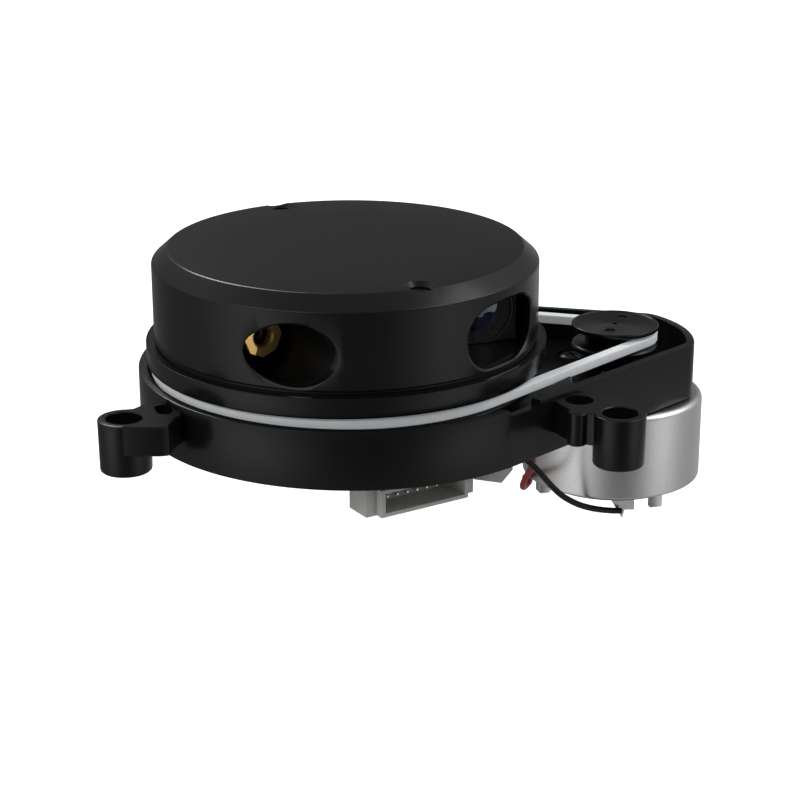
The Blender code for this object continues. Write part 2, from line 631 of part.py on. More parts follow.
def main_bearing():
    """Ball bearing between the base post and the head's hub, with the clip that keeps it on."""
    middle = (BEARING_LOW_Z + BEARING_HIGH_Z) / 2
    track = BALL_R + 0.15
    inner = [(POST_R + FIT, BEARING_LOW_Z), (10.0, BEARING_LOW_Z)]
    inner += groove(10.0, middle, track, -1)
    inner += [(10.0, BEARING_HIGH_Z), (POST_R + FIT, BEARING_HIGH_Z)]
    add_object("bearing_inner_race", turned(inner, 32), paint="steel")
    outer = [(11.5, BEARING_LOW_Z), (13.0, BEARING_LOW_Z), (13.0, BEARING_HIGH_Z), (11.5, BEARING_HIGH_Z)]
    outer += reversed(groove(11.5, middle, track, 1))
    add_object("bearing_outer_race", turned(outer, 32), paint="steel")
    cage = [(10.4, middle - 0.5), (11.1, middle - 0.5), (11.1, middle + 0.5), (10.4, middle + 0.5)]
    balls = add_object("bearing_balls", turned(cage, 30), paint="steel")
    spheres = []
    for step in range(BALL_COUNT):
        ball = bmesh.new()
        bmesh.ops.create_icosphere(ball, subdivisions=2, radius=BALL_R)
        x, y = turned_point((BALL_CIRCLE_R, 0), 360 * step / BALL_COUNT)
        bmesh.ops.translate(ball, verts=ball.verts, vec=(x, y, middle))
        spheres.append(ball)
    join(balls, "ball_spheres", merged(spheres))
    gap = arc((0, 0), 10.3, 25, 335, 24) + arc((0, 0), 7.85, 335, 25, 24)
    add_object("bearing_clip", prism(gap, 11.3, 11.9), paint="steel")


def groove(face_r, middle, track, side):
    """Ball track cut into a race's face; side -1 cuts inwards, 1 outwards."""
    half = math.sqrt(track ** 2 - (face_r - BALL_CIRCLE_R) ** 2)
    points = []
    for step in range(4):
        height = -half + 2 * half * step / 3
        depth = math.sqrt(max(track ** 2 - height ** 2, 0.0))
        points.append((BALL_CIRCLE_R + side * depth, middle + height))
    return points


def power_link():
    """Two facing coil cups that carry power across the turning gap."""
    fixed = [(17.0, 3.95), (21.0, 3.95), (21.0, 7.0), (17.0, 7.0)]
    add_object("power_coil_fixed", turned(fixed, 32), paint="ferrite")
    turning = [(17.0, 8.0), (21.0, 8.0), (21.0, 12.6), (17.0, 12.6)]
    add_object("power_coil_turning", turned(turning, 32), paint="ferrite")


def head_base():
    """Turning deck with the hub, the skirt and the belt groove."""
    inner_r, groove_r = 29.6, 31.2
    profile = [(13.15, 5.7), (16.0, 5.7), (16.0, DECK_BOTTOM_Z), (inner_r, DECK_BOTTOM_Z),
               (inner_r, FLANGE_BOTTOM_Z), (FLANGE_R, FLANGE_BOTTOM_Z), (FLANGE_R, FLANGE_TOP_Z),
               (groove_r, FLANGE_TOP_Z), (groove_r, SKIRT_BOTTOM_Z), (SKIRT_R - 0.3, SKIRT_BOTTOM_Z),
               (SKIRT_R, SKIRT_BOTTOM_Z + 0.3), (SKIRT_R, SKIRT_TOP_Z), (6.5, SKIRT_TOP_Z), (6.5, 13.2),
               (10.9, 13.2), (10.9, 12.2), (11.8, 12.2), (11.8, 11.3), (13.15, 11.3)]
    deck = add_object("head_base", turned(profile, HEAD_SEGMENTS), paint="black_plastic")
    holes = []
    for angle in COVER_SCREW_ANGLES:
        holes.append(prism(circle(turned_point((COVER_SCREW_R, 0), angle), SCREW_WAY_R, 14), 12, 15))
    for place in HEAD_BOARD_SCREWS:
        holes.append(prism(circle(place, 1.3, 14), 12, 15))
    cut(deck, "deck_hole_cutter", merged(holes))


def window_outline(low, high, corner, steps):
    """Rounded rectangle between two corners."""
    points = arc((high[0] - corner, high[1] - corner), corner, 0, 90, steps)
    points += arc((low[0] + corner, high[1] - corner), corner, 90, 180, steps)
    points += arc((low[0] + corner, low[1] + corner), corner, 180, 270, steps)
    points += arc((high[0] - corner, low[1] + corner), corner, 270, 360, steps)
    return points


def window_cutter(low, high, corner):
    """A window outline in x and z, run along Y through the front wall of the cover."""
    flat = prism(window_outline(low, high, corner, 5), 12.0, 40.0)
    return lying(flat, (0, 0, 0))


def head_cover():
    """Domed cover with the two optical windows and the two deep screw wells."""
    cove = 1.2
    foot = SKIRT_TOP_Z + GAP
    outside = [(SKIRT_R - 0.2, foot)]
    outside += arc((HEAD_R + cove, foot + 0.2 + cove), cove, 270, 180, 4)
    outside += [(HEAD_R, HEAD_CHAMFER_Z), (HEAD_TOP_R, HEAD_TOP_Z), (0, HEAD_TOP_Z)]
    inside_r = HEAD_R - COVER_WALL
    roof = HEAD_TOP_Z - COVER_ROOF
    inside = [(0, roof), (inside_r - 2, roof), (inside_r, HEAD_CHAMFER_Z - 1.6), (inside_r, foot)]
    cover = add_object("head_cover", turned(outside + inside, HEAD_SEGMENTS), paint="black_plastic")
    wells = []
    for angle in COVER_SCREW_ANGLES:
        place = turned_point((COVER_SCREW_R, 0), angle)
        wells.append(prism(circle(place, 3.4, 24), foot, roof + 0.3))
    join(cover, "screw_posts", merged(wells))
    port = prism(circle((0, 0), LASER_PORT_R, 32), -8.0, 10.0)
    openings = [aimed(port, LASER_PORT, LASER_TURN), window_cutter(*CAMERA_WINDOW, CAMERA_WINDOW_CORNER)]
    mouth_z = HEAD_TOP_Z - WELL_MOUTH_DEPTH
    for angle in COVER_SCREW_ANGLES:
        place = turned_point((COVER_SCREW_R, 0), angle)
        well = [(0, 13), (SCREW_WAY_R, 13), (SCREW_WAY_R, WELL_FLOOR_Z), (WELL_R, WELL_FLOOR_Z)]
        well += [(WELL_R, mouth_z), (WELL_MOUTH_R, HEAD_TOP_Z)]
        well += [(WELL_MOUTH_R + 1, HEAD_TOP_Z + 1), (0, HEAD_TOP_Z + 1)]
        openings.append(turned(well, 24, place))
    cut(cover, "cover_opening_cutter", merged(openings))
    sill = arc((0, 0), inside_r + 0.3, *SILL_ANGLES, 8) + [(25.6, SILL_BACK_Y), (11.4, SILL_BACK_Y)]
    join(cover, "camera_sill", prism(sill, foot, SILL_TOP_Z))
    for number, angle in enumerate(COVER_SCREW_ANGLES, start=1):
        place = turned_point((COVER_SCREW_R, 0), angle)
        pan_screw(f"cover_screw_{number}", place, WELL_FLOOR_Z + 0.1, 12.9, 1.3, 0.8)


def head_board():
    """Half-round board on the deck behind the optics, with its screws, beacon and index sensor."""
    outline = arc((0, 0), HEAD_BOARD_R, 4, 176, 32)
    board = add_object("head_board", prism(outline, 14.7, 16.3), paint="board")
    holes = [prism(circle(place, 1.4, 14), 14, 17) for place in HEAD_BOARD_SCREWS]
    cut(board, "head_board_hole_cutter", merged(holes))
    for number, place in enumerate(HEAD_BOARD_SCREWS, start=1):
        pan_screw(f"head_board_screw_{number}", place, 16.4, 13.1, 2.2, 1.0)
    beacon = [(0, 8.6), (1.5, 8.9), (2.4, 10.2), (2.4, 14.4), (0, 14.4)]
    add_object("link_beacon", turned(beacon, 20), paint="glass")
    arms = [(22.5, -3.5), (28.4, -3.5), (28.4, 3.5), (22.5, 3.5)]
    sensor = prism([turned_point(corner, SENSOR_TURN) for corner in arms], 6.2, 12.6)
    block = add_object("index_sensor", sensor, paint="dark_plastic", smooth=False)
    slot = [(24.2, -4.5), (26.6, -4.5), (26.6, 4.5), (24.2, 4.5)]
    cut(block, "sensor_slot_cutter", prism([turned_point(corner, SENSOR_TURN) for corner in slot], 5.0, 10.4))


def laser_unit():
    """Laser mount with a brass barrel, its lens and the laser diode behind it, aimed through the port."""
    front, turn = LASER_FRONT, LASER_TURN
    corners = [turned_point(corner, turn) for corner in box_outline((-5.5, 3.0), (5.5, 13.0))]
    outline = [(front[0] + x, front[1] + y) for x, y in corners]
    mount = add_object("laser_mount", prism(outline, 14.7, 27.2), paint="dark_plastic", smooth=False)
    bore = prism(circle((0, 0), 3.3, 28), -30, 10)
    cut(mount, "laser_bore_cutter", aimed(bore, front, turn))
    barrel = [(1.6, 0), (3.4, 0), (3.4, -1.5), (3.0, -1.5), (3.0, -16.0), (2.2, -16.0), (2.2, -2.0),
              (1.6, -1.4)]
    add_object("laser_barrel", aimed(turned(barrel, 24), front, turn), front, "brass")
    lens = [(0, -2.1), (1.9, -2.5), (1.9, -3.4), (0, -3.8)]
    add_object("laser_lens", aimed(turned(lens, 24), front, turn), paint="glass")
    diode = [(0, -12.5), (1.9, -12.5), (1.9, -16.6), (2.7, -16.6), (2.7, -17.8), (0, -17.8)]
    add_object("laser_diode", aimed(turned(diode, 24), front, turn), paint="brass")


def camera_unit():
    """Lens barrel in its holder, with its glass, its ring, and the image sensor on an upright board."""
    x = CAMERA_X
    front = (CAMERA_X, CAMERA_FRONT_Y, CAMERA_Z)
    block = prism(box_outline((x - 7.3, -14.5), (x + 7.3, -3.2)), 14.7, 28.1)
    holder = add_object("lens_holder", block, paint="dark_plastic", smooth=False)
    bore = prism(circle((0, 0), 5.9, 32), -40, 20)
    cut(holder, "holder_bore_cutter", aimed(bore, front, 0))
    barrel = [(4.6, 0), (6.3, 0), (6.3, -1.6), (5.6, -1.6), (5.6, -12.0), (4.6, -12.0)]
    add_object("lens_barrel", aimed(turned(barrel, 28), front, 0), front, "dark_plastic")
    glass = [(0, -0.8), (2.4, -1.1), (4.3, -2.0), (4.3, -3.4), (0, -3.4)]
    add_object("lens_glass", aimed(turned(glass, 24), front, 0), paint="glass")
    rear = [(0, -7.5), (3.2, -7.9), (4.3, -8.6), (4.3, -10.4), (0, -10.4)]
    add_object("rear_lens", aimed(turned(rear, 24), front, 0), paint="glass")
    chip = prism(box_outline((x - 4, -2.7), (x + 4, -1.7)), CAMERA_Z - 3.5, CAMERA_Z + 3.5)
    add_object("image_sensor", chip, paint="ferrite", smooth=False)
    plate = prism(box_outline((x - 8.6, -1.4), (x + 6.8, 0.2)), 14.7, 27.8)
    add_object("camera_board", plate, paint="board", smooth=False)


def smooth_route(points, spacing):
    """Evenly spaced points on a Catmull-Rom curve through the route's own points."""
    ends = [2 * Vector(points[0]) - Vector(points[1])]
    knots = ends + [Vector(point) for point in points] + [2 * Vector(points[-1]) - Vector(points[-2])]
    fine = []
    for index in range(1, len(knots) - 2):
        p0, p1, p2, p3 = knots[index - 1:index + 3]
        for step in range(20):
            t = step / 20
            fine.append(0.5 * ((2 * p1) + (p2 - p0) * t + (2 * p0 - 5 * p1 + 4 * p2 - p3) * t ** 2
                               + (3 * p1 - p0 - 3 * p2 + p3) * t ** 3))
    fine.append(knots[-2])
    lengths = [0.0]
    for here, there in zip(fine, fine[1:]):
        lengths.append(lengths[-1] + (there - here).length)
    count = max(2, round(lengths[-1] / spacing))
    route = []
    place = 0
    for step in range(count + 1):
        target = lengths[-1] * step / count
        while place < len(lengths) - 2 and lengths[place + 1] < target:
            place += 1
        share = (target - lengths[place]) / (lengths[place + 1] - lengths[place])
        route.append(fine[place].lerp(fine[place + 1], share))
    return route


def lead(name, route, paint):
    """A motor lead: a round tube along its route."""
    curve = bpy.data.curves.new(name, "CURVE")
    curve.dimensions = "3D"
    curve.bevel_depth = LEAD_R * MM
    curve.bevel_resolution = 2
    curve.use_fill_caps = True
    points = smooth_route(route, LEAD_STEP)
    spline = curve.splines.new("POLY")
    spline.points.add(len(points) - 1)
    for target, point in zip(spline.points, points):
        target.co = (*(point * MM), 1.0)
    curve.materials.append(material(paint))
    bpy.context.scene.collection.objects.link(bpy.data.objects.new(name, curve))


def main():
    clear_scene()
    base_housing()
    encoder_ring()
    base_board()
    main_connector()
    motor_plug()
    drive_motor()
    drive_pulley()
    drive_belt()
    main_bearing()
    power_link()
    head_base()
    head_cover()
    head_board()
    laser_unit()
    camera_unit()
    lead("black_lead", BLACK_LEAD, "black_sleeve")
    lead("red_lead", RED_LEAD, "red_sleeve")


main()
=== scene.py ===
"""Looks of a belt-driven laser scanner module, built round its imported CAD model.

Lengths are in millimetres until a piece is made, and heights are +Z. The origin is on the head's
spin axis in the plane of the mounting feet, +X points to the motor, and the windows look along -Y.
"""
import math

import bmesh
import bpy
from mathutils import Matrix, Vector

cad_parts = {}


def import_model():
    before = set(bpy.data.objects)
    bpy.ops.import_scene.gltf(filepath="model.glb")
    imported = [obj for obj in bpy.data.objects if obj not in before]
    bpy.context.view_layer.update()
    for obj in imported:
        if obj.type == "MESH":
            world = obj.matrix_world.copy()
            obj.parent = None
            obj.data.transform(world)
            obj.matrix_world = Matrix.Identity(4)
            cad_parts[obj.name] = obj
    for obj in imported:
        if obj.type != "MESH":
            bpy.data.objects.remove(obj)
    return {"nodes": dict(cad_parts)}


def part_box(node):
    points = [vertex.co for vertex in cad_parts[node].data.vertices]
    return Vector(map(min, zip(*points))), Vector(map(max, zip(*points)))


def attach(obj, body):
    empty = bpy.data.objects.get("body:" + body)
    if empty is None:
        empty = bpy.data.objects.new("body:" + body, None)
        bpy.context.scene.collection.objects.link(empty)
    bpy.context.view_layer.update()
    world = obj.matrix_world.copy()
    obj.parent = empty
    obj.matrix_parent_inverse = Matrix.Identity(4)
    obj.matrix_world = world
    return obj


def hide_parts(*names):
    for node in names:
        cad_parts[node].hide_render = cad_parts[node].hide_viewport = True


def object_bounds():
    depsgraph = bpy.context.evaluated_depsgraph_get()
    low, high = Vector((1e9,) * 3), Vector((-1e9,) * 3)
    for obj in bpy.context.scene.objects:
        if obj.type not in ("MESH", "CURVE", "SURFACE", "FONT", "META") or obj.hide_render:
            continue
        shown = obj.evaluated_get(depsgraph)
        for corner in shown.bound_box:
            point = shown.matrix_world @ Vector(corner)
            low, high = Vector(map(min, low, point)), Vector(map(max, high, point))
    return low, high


MM = 0.001

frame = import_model()
CAD_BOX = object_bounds()


def span(node):
    """Lowest and highest corner of a CAD node, in millimetres."""
    low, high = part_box(node)
    return low / MM, high / MM


# Camera: where it stands, its own three axes, and its lens
CAMERA_AT = (-87.270, -330.519, 122.806)
CAMERA_RIGHT = (0.95955, -0.28155, -0.00100)
CAMERA_UP = (0.09458, 0.31897, 0.94303)
CAMERA_BACK = (-0.26519, -0.90498, 0.33269)
LENS_MM = 93.85
SENSOR_MM = 36.0
CLIP_START_M = 0.01
CLIP_END_M = 20.0

# Floor, with a backdrop that bends up all round
FLOOR_DROP = 7.0  # from the lowest point of the module to the floor
FLOOR_R = 2500.0
FLOOR_BEND_R = 500.0
BACKDROP_HEIGHT = 2500.0
FLOOR_SEGMENTS = 96
FLOOR_SHARES = (0.05, 0.2, 0.5, 0.8)  # rings on the flat part, as shares of its radius

# Motor leads: each route repeats the CAD route
LEAD_R = 0.55
LEAD_STEP = 1.5
BLACK_LEAD = [(23.6, -18.6, -3.9), (25.3, -19.2, -4.0), (27.0, -19.0, -5.3), (29.1, -18.5, -7.6),
              (31.5, -17.0, -10.5), (33.9, -15.8, -13.1), (36.1, -14.9, -14.9), (38.4, -14.0, -16.4),
              (40.6, -13.2, -17.5), (42.8, -12.4, -18.4), (45.1, -11.8, -19.1), (47.2, -11.5, -19.5)]
RED_LEAD = [(22.2, -17.3, -3.9), (25.4, -16.8, -3.8), (28.2, -16.6, -5.0), (28.6, -15.5, -7.6),
            (28.2, -14.0, -10.0), (28.2, -12.5, -12.0), (29.1, -10.7, -13.2), (31.0, -8.2, -13.2),
            (32.1, -4.0, -14.2), (33.6, 1.0, -16.2), (37.2, 5.2, -17.6), (43.0, 8.6, -18.2),
            (48.6, 9.8, -18.3), (52.6, 9.8, -18.2)]

# Head
HEAD_SEGMENTS = 240
HEAD_GROWTH = 0.25  # the seen head is this much larger in radius than the CAD head
TOP_GROWTH = 0.1  # and this much taller
HEAD_TOP_Z = span("head_cover")[1].z + TOP_GROWTH
SKIRT_R = span("head_base")[1].x + HEAD_GROWTH
SKIRT_TOP_Z = 14.4
SKIRT_BOTTOM_Z = 11.0
HEAD_R = SKIRT_R - 1.4  # side wall of the cover
HEAD_TOP_R = HEAD_R - 2.7  # flat top inside the chamfer
HEAD_CHAMFER = 2.4
FLANGE_SEAT_Z = 14.15  # the cover's foot flange sits in a rabbet in the deck's rim
SEAM = 0.04  # between the cover and the deck
COVER_WALL = 1.6
COVER_ROOF = 2.0
COVER_SCREW_R = 28.4
COVER_SCREW_ANGLES = (-80.5, 99.5)
COVER_POST_R = 3.4
SCREW_THREAD_R = 1.1
SCREW_HEAD_R = 1.55
SCREW_HEAD_Z = 18.0
WELL_R = 1.85
WELL_MOUTH_R = 2.6
WELL_MOUTH_DEPTH = 0.75
WINDOW_CHAMFER = 0.35
LASER_PORT = (-15.95, -28.43, 20.73)  # middle of the port where it meets the wall
LASER_PORT_R = 5.2
LASER_TURN = 17.5  # how far the laser looks from -Y towards +X
CAMERA_WINDOW = [(26.55, 26.2), (12.0, 26.0), (12.0, 15.45), (26.3, 15.45)]
CAMERA_WINDOW_RADII = [4.2, 5.5, 5.0, 5.0]
SILL_ANGLES = (-68.6, -34.6)  # shelf inside the camera window, in front of the lens
SILL_BACK_Y = -17.5
SILL_FRONT_Z = 15.75
SILL_BACK_Z = 16.4
GROOVE_R = 31.2
FLANGE_R = 33.2
FLANGE_TOP_Z = 8.4
FLANGE_BOTTOM_Z = 7.3
DECK_HOLES = [(-17.0, 7.0, 1.3), (17.0, 7.0, 1.3)]  # plan place and radius

# Belt drive
PULLEY_X = (span("motor_can")[0].x + span("motor_can")[1].x) / 2
PULLEY_MARKS = [(2.7, 3.4), (-2.4, -3.6)]  # from the pulley's axis
PULLEY_MARK_R = 0.95
BELT_LOW, BELT_HIGH = span("drive_belt")
BELT_Z = (BELT_LOW.z + BELT_HIGH.z) / 2
BELT_R = (BELT_HIGH.z - BELT_LOW.z) / 2
BELT_HEAD_R = -BELT_LOW.x - BELT_R
BELT_PULLEY_R = BELT_HIGH.x - BELT_R - PULLEY_X
BELT_SHRINK = 0.004  # keeps the belt a little inside the CAD belt
BELT_CUT_LOW = 0.30  # how far the flattened section stays above the square one's lower side
BELT_CUT_HIGH = 0.12
BELT_CORNER_R = 0.22

# Base housing
RING_X = 1.7
RING_R = 37.35
WALL = 1.45
RIM_Z = 9.9
FLOOR_TOP_Z = 3.65
FLOOR_BOTTOM_Z = 2.0
UNDER_POCKET_R = 32.3
TAIL_LEAN = 60.7
TAIL_CORNER_R = 4.4
TAIL_END_X = 43.0
TAIL_END_R = 20.2
EDGE = 0.22  # rounding of moulded edges
FINE_EDGE = 0.03  # chamfer of the rim's inner edge, and how far the filler stays under the rim
LUG_TOP_Z = 8.85
LUG_WEB_Z = 3.3
LEFT_WEB_Z = 3.8
LUG_BOSS_R = 4.33
LUG_BORE_R = 2.93
LUG_HOLE_R = 1.7
LUG_SEAT_Z = 4.4
LUG_MOUTH = 0.15  # chamfer round the mouth of a counterbore
BOARD_POST_ANGLES = (35.0, 180.0, 325.0)
BOARD_POST_PLACE_R = 25.5
BOARD_POST_R = 2.6
BOARD_SCREW_R = 1.25
AXLE_HOLE_R = 5.5
BUSH_HOLE_R = 4.4
MOTOR_SCREWS = [(PULLEY_X - 4.6, 9.0), (PULLEY_X + 4.6, -9.0)]
MOTOR_SCREW_HOLE = [(0, -1), (1.5, -1), (1.5, 2.2), (2.7, 2.2), (2.7, 4.7), (0, 4.7)]
MOTOR_TAP_R = 1.2
POST_PROFILE = [(0, 2.5), (12, 2.5), (12, 4.6), (9.9, 4.6), (9.9, 5.85), (8.35, 5.85), (8.35, 11.2),
                (7.7, 11.2), (7.7, 12.0), (8.35, 12.0), (8.35, 12.2), (8.15, 12.4), (0, 12.4)]

# Boards and motor
PCB_TOP_Z = 0.4
PCB_THICK = 1.6
MOTOR_R = 16.0
MOTOR_TOP_Z = -0.35
MOTOR_BOTTOM_Z = -15.8
LASER_FRONT = (-18.55, -18.0, 20.95)
CAMERA_FRONT = (18.3, -17.0, 21.8)
GLASS_DOME_R = 18.0
GLASS_R = 4.25
GLASS_FRONT = -1.6  # from the barrel's front
GLASS_BACK = -5.6
CONNECTOR_CORNER = (-3.3, -33.4, -6.3)
CONNECTOR_TURN = 16.0
CONNECTOR_SIZE = (16.8, 6.8, 4.8)
PIN_COUNT = 8
PIN_PITCH = 1.88
FIRST_PIN = 1.85
PIN_HEIGHT = 3.1
PIN_HALF = 0.25  # half the pin's width
PIN_HOLE_HALF = 0.4
PLUG_CENTRE = (19.9, -21.7, 0.0)
PLUG_TURN = 54.0
PLUG_LOW_Z = -5.3


# ------------ materials

RAMP_LOW = 0.3  # where the two ends of a mottled range lie on the noise
RAMP_HIGH = 0.7
SMEAR_CELLS = 2.3  # how much finer the roughness varies than the colour
GRAIN_DETAIL = 2.0
GRAIN_STRENGTH = 0.25
# colour of the painted glow: emission that paints light onto a surface
PAINTED_GLOW_COLOUR = (0.94, 0.98, 1.0, 1.0)

# Surfaces by slot: the material's name, its dark and light colour, its range of roughness, its mottling
# and its grain in cells per metre, and what differs from textured's defaults
SURFACES = {
    "black_plastic": ("satin_black_plastic", 0.0050, 0.0065, (0.21, 0.25), 900, 5200,
                      {"specular": 0.28, "grain_depth": 0.000012}),
    "dark_plastic": ("matt_black_plastic", 0.018, 0.024, (0.40, 0.50), 800, 4200, {"specular": 0.40}),
    "hood_plastic": ("polished_black_plastic", 0.0030, 0.0042, (0.30, 0.36), 700, 3000,
                     {"specular": 0.35, "grain_depth": 0.000005}),
    # the belt's glow is painted light: an even emission that brightens the rubber as if lit
    "belt_rubber": ("pale_belt_rubber", (0.66, 0.69, 0.71), (0.72, 0.75, 0.77), (0.60, 0.70), 500, 3800,
                    {"specular": 0.25, "painted_glow": 0.14}),
    "connector_plastic": ("grey_nylon", (0.53, 0.53, 0.50), (0.59, 0.59, 0.56), (0.42, 0.55), 700, 4800, {}),
    "motor_steel": ("satin_motor_steel", (0.66, 0.66, 0.655), (0.73, 0.73, 0.725), (0.30, 0.38), 2600, 9000,
                    {"metallic": 1.0, "grain_depth": 0.00001}),
    "steel": ("blackened_steel", (0.050, 0.050, 0.052), (0.075, 0.075, 0.078), (0.34, 0.46), 900, 5000,
              {"metallic": 1.0, "grain_depth": 0.000008}),
    "tin": ("tinned_metal", (0.60, 0.60, 0.58), (0.72, 0.72, 0.70), (0.28, 0.42), 1400, 6000,
            {"metallic": 1.0, "grain_depth": 0.00001}),
    "brass": ("turned_brass", (0.82, 0.53, 0.17), (0.92, 0.62, 0.23), (0.36, 0.46), 1200, 7000,
              {"metallic": 0.8, "grain_depth": 0.000012}),
    "ferrite": ("sintered_ferrite", 0.030, 0.060, (0.55, 0.75), 1100, 3600, {}),
    "copper": ("enamelled_copper", (0.45, 0.16, 0.06), (0.60, 0.24, 0.10), (0.25, 0.4), 900, 2600,
               {"metallic": 1.0, "stretch": (1, 1, 6)}),
    "red_sleeve": ("red_lead_sleeve", (0.30, 0.012, 0.012), (0.38, 0.022, 0.020), (0.32, 0.42), 600, 3000,
                   {"grain_depth": 0.000008}),
    "black_sleeve": ("black_lead_sleeve", 0.003, 0.005, (0.24, 0.32), 600, 3000,
                     {"specular": 0.22, "grain_depth": 0.000008}),
}


def shader_of(name):
    """A new node material, its node tree and its Principled shader."""
    made = bpy.data.materials.new(name)
    made.use_nodes = True
    return made, made.node_tree, made.node_tree.nodes["Principled BSDF"]


def fill(node, values):
    """Set a node's own input sockets by name."""
    for name, value in values.items():
        node.inputs[name].default_value = value


def noise(tree, scale, detail=4.0, stretch=(1.0, 1.0, 1.0)):
    """Procedural noise in the piece's own space; scale is in cells per metre."""
    coords = tree.nodes.new("ShaderNodeTexCoord")
    mapping = tree.nodes.new("ShaderNodeMapping")
    fill(mapping, {"Scale": stretch})
    texture = tree.nodes.new("ShaderNodeTexNoise")
    fill(texture, {"Scale": scale, "Detail": detail})
    tree.links.new(coords.outputs["Object"], mapping.inputs["Vector"])
    tree.links.new(mapping.outputs["Vector"], texture.inputs["Vector"])
    return texture.outputs["Fac"]


def ramp(tree, factor, stops):
    """Colours along a factor; a stop is (place, colour), and the colour may be one grey value."""
    node = tree.nodes.new("ShaderNodeValToRGB")
    elements = node.color_ramp.elements
    while len(elements) < len(stops):
        elements.new(0.5)
    for element, (place, colour) in zip(elements, stops):
        element.position = place
        if not hasattr(colour, "__len__"):
            colour = (colour, colour, colour)
        element.color = (*colour, 1.0)
    tree.links.new(factor, node.inputs["Fac"])
    return node.outputs["Color"]


def bump(tree, shader, factor, strength, depth):
    """Raise the surface by a factor; depth is in metres."""
    node = tree.nodes.new("ShaderNodeBump")
    fill(node, {"Strength": strength, "Distance": depth})
    tree.links.new(factor, node.inputs["Height"])
    tree.links.new(node.outputs["Normal"], shader.inputs["Normal"])


def textured(name, dark, light, rough, cells, grain, metallic=0.0, specular=0.5, stretch=(1, 1, 1),
             grain_depth=0.00002, painted_glow=0.0):
    """A material with colour mottling, uneven roughness and a fine surface grain.

    Cells and grain are in cells per metre. The glow is painted light: an even emission that makes the pale
    belt rubber look lit, though it is no lamp.
    """
    made, tree, shader = shader_of(name)
    mottle = noise(tree, cells, stretch=stretch)
    colour = ramp(tree, mottle, [(RAMP_LOW, dark), (RAMP_HIGH, light)])
    tree.links.new(colour, shader.inputs["Base Color"])
    smears = noise(tree, cells * SMEAR_CELLS, stretch=stretch)
    roughness = ramp(tree, smears, [(RAMP_LOW, rough[0]), (RAMP_HIGH, rough[1])])
    tree.links.new(roughness, shader.inputs["Roughness"])
    fill(shader, {"Metallic": metallic, "Specular IOR Level": specular, "Emission Color": PAINTED_GLOW_COLOUR,
                  "Emission Strength": painted_glow})
    bump(tree, shader, noise(tree, grain, GRAIN_DETAIL, stretch), GRAIN_STRENGTH, grain_depth)
    return made


def board_material():
    """Solder mask with copper tracks just showing through it."""
    made, tree, shader = shader_of("board_mask")
    coords = tree.nodes.new("ShaderNodeTexCoord")
    tracks = tree.nodes.new("ShaderNodeTexBrick")
    fill(tracks, {"Scale": 260.0, "Mortar Size": 0.06, "Color1": (0.010, 0.060, 0.030, 1.0),
                  "Color2": (0.008, 0.050, 0.026, 1.0), "Mortar": (0.020, 0.110, 0.050, 1.0)})
    tree.links.new(coords.outputs["Object"], tracks.inputs["Vector"])
    tree.links.new(tracks.outputs["Color"], shader.inputs["Base Color"])
    roughness = ramp(tree, noise(tree, 900.0), [(RAMP_LOW, 0.3), (RAMP_HIGH, 0.42)])
    tree.links.new(roughness, shader.inputs["Roughness"])
    bump(tree, shader, tracks.outputs["Fac"], 0.3, 0.00003)
    return made


def glass_material():
    """Coated lens glass: dark and very smooth, with a painted reflection: a blue base colour that turns with
    the surface's angle stands in for the coating's blue reflection.
    """
    made, tree, shader = shader_of("coated_glass")
    facing = tree.nodes.new("ShaderNodeLayerWeight")
    fill(facing, {"Blend": 0.35})
    # painted reflection: the coating's blue sheen, put into the base colour by facing angle
    painted_coat_reflection = ramp(tree, facing.outputs["Facing"],
                [(0.0, (0.010, 0.011, 0.018)), (0.35, (0.016, 0.024, 0.070)), (0.75, (0.020, 0.022, 0.030))])
    tree.links.new(painted_coat_reflection, shader.inputs["Base Color"])
    smear = ramp(tree, noise(tree, 700.0), [(RAMP_LOW, 0.03), (RAMP_HIGH, 0.06)])
    tree.links.new(smear, shader.inputs["Roughness"])
    fill(shader, {"Specular IOR Level": 0.8, "Coat Weight": 1.0, "Coat Roughness": 0.02,
                  "Coat Tint": (0.88, 0.92, 1.0, 1.0)})
    return made


def make_paints():
    """Every material, by name. Each CAD slot of the same name is painted with it."""
    paints = {name: textured(*settings, **extras) for name, (*settings, extras) in SURFACES.items()}
    paints["board"] = board_material()
    paints["glass"] = glass_material()
    return paints


PAINTS = make_paints()


# ------------ shape helpers

ON_AXIS = 1e-6  # a profile point nearer the axis than this is one point
STRAIGHT = math.radians(87)  # a corner whose half angle is larger isn't rounded
LONGEST_RUN = 0.48  # share of a side that one corner's rounding may use
SHARPEST = 0.35  # limits how far a sharp corner moves when an outline is shrunk
SHARP_DEGREES = 32  # edges sharper than this are shaded as edges


def arc(centre, radius, start, end, steps):
    """Points on an arc, angles in degrees, both ends included."""
    points = []
    for step in range(steps + 1):
        angle = math.radians(start + (end - start) * step / steps)
        points.append((centre[0] + radius * math.cos(angle), centre[1] + radius * math.sin(angle)))
    return points


def circle(centre, radius, steps):
    """Points round a full circle, from its +X side."""
    return arc(centre, radius, 0.0, 360.0, steps)[:-1]


def turned_point(point, degrees):
    """A plan point turned about the origin."""
    angle = math.radians(degrees)
    x = point[0] * math.cos(angle) - point[1] * math.sin(angle)
    y = point[0] * math.sin(angle) + point[1] * math.cos(angle)
    return (x, y)


def box_outline(low, high):
    """The four plan corners of a box."""
    return [(low[0], low[1]), (high[0], low[1]), (high[0], high[1]), (low[0], high[1])]


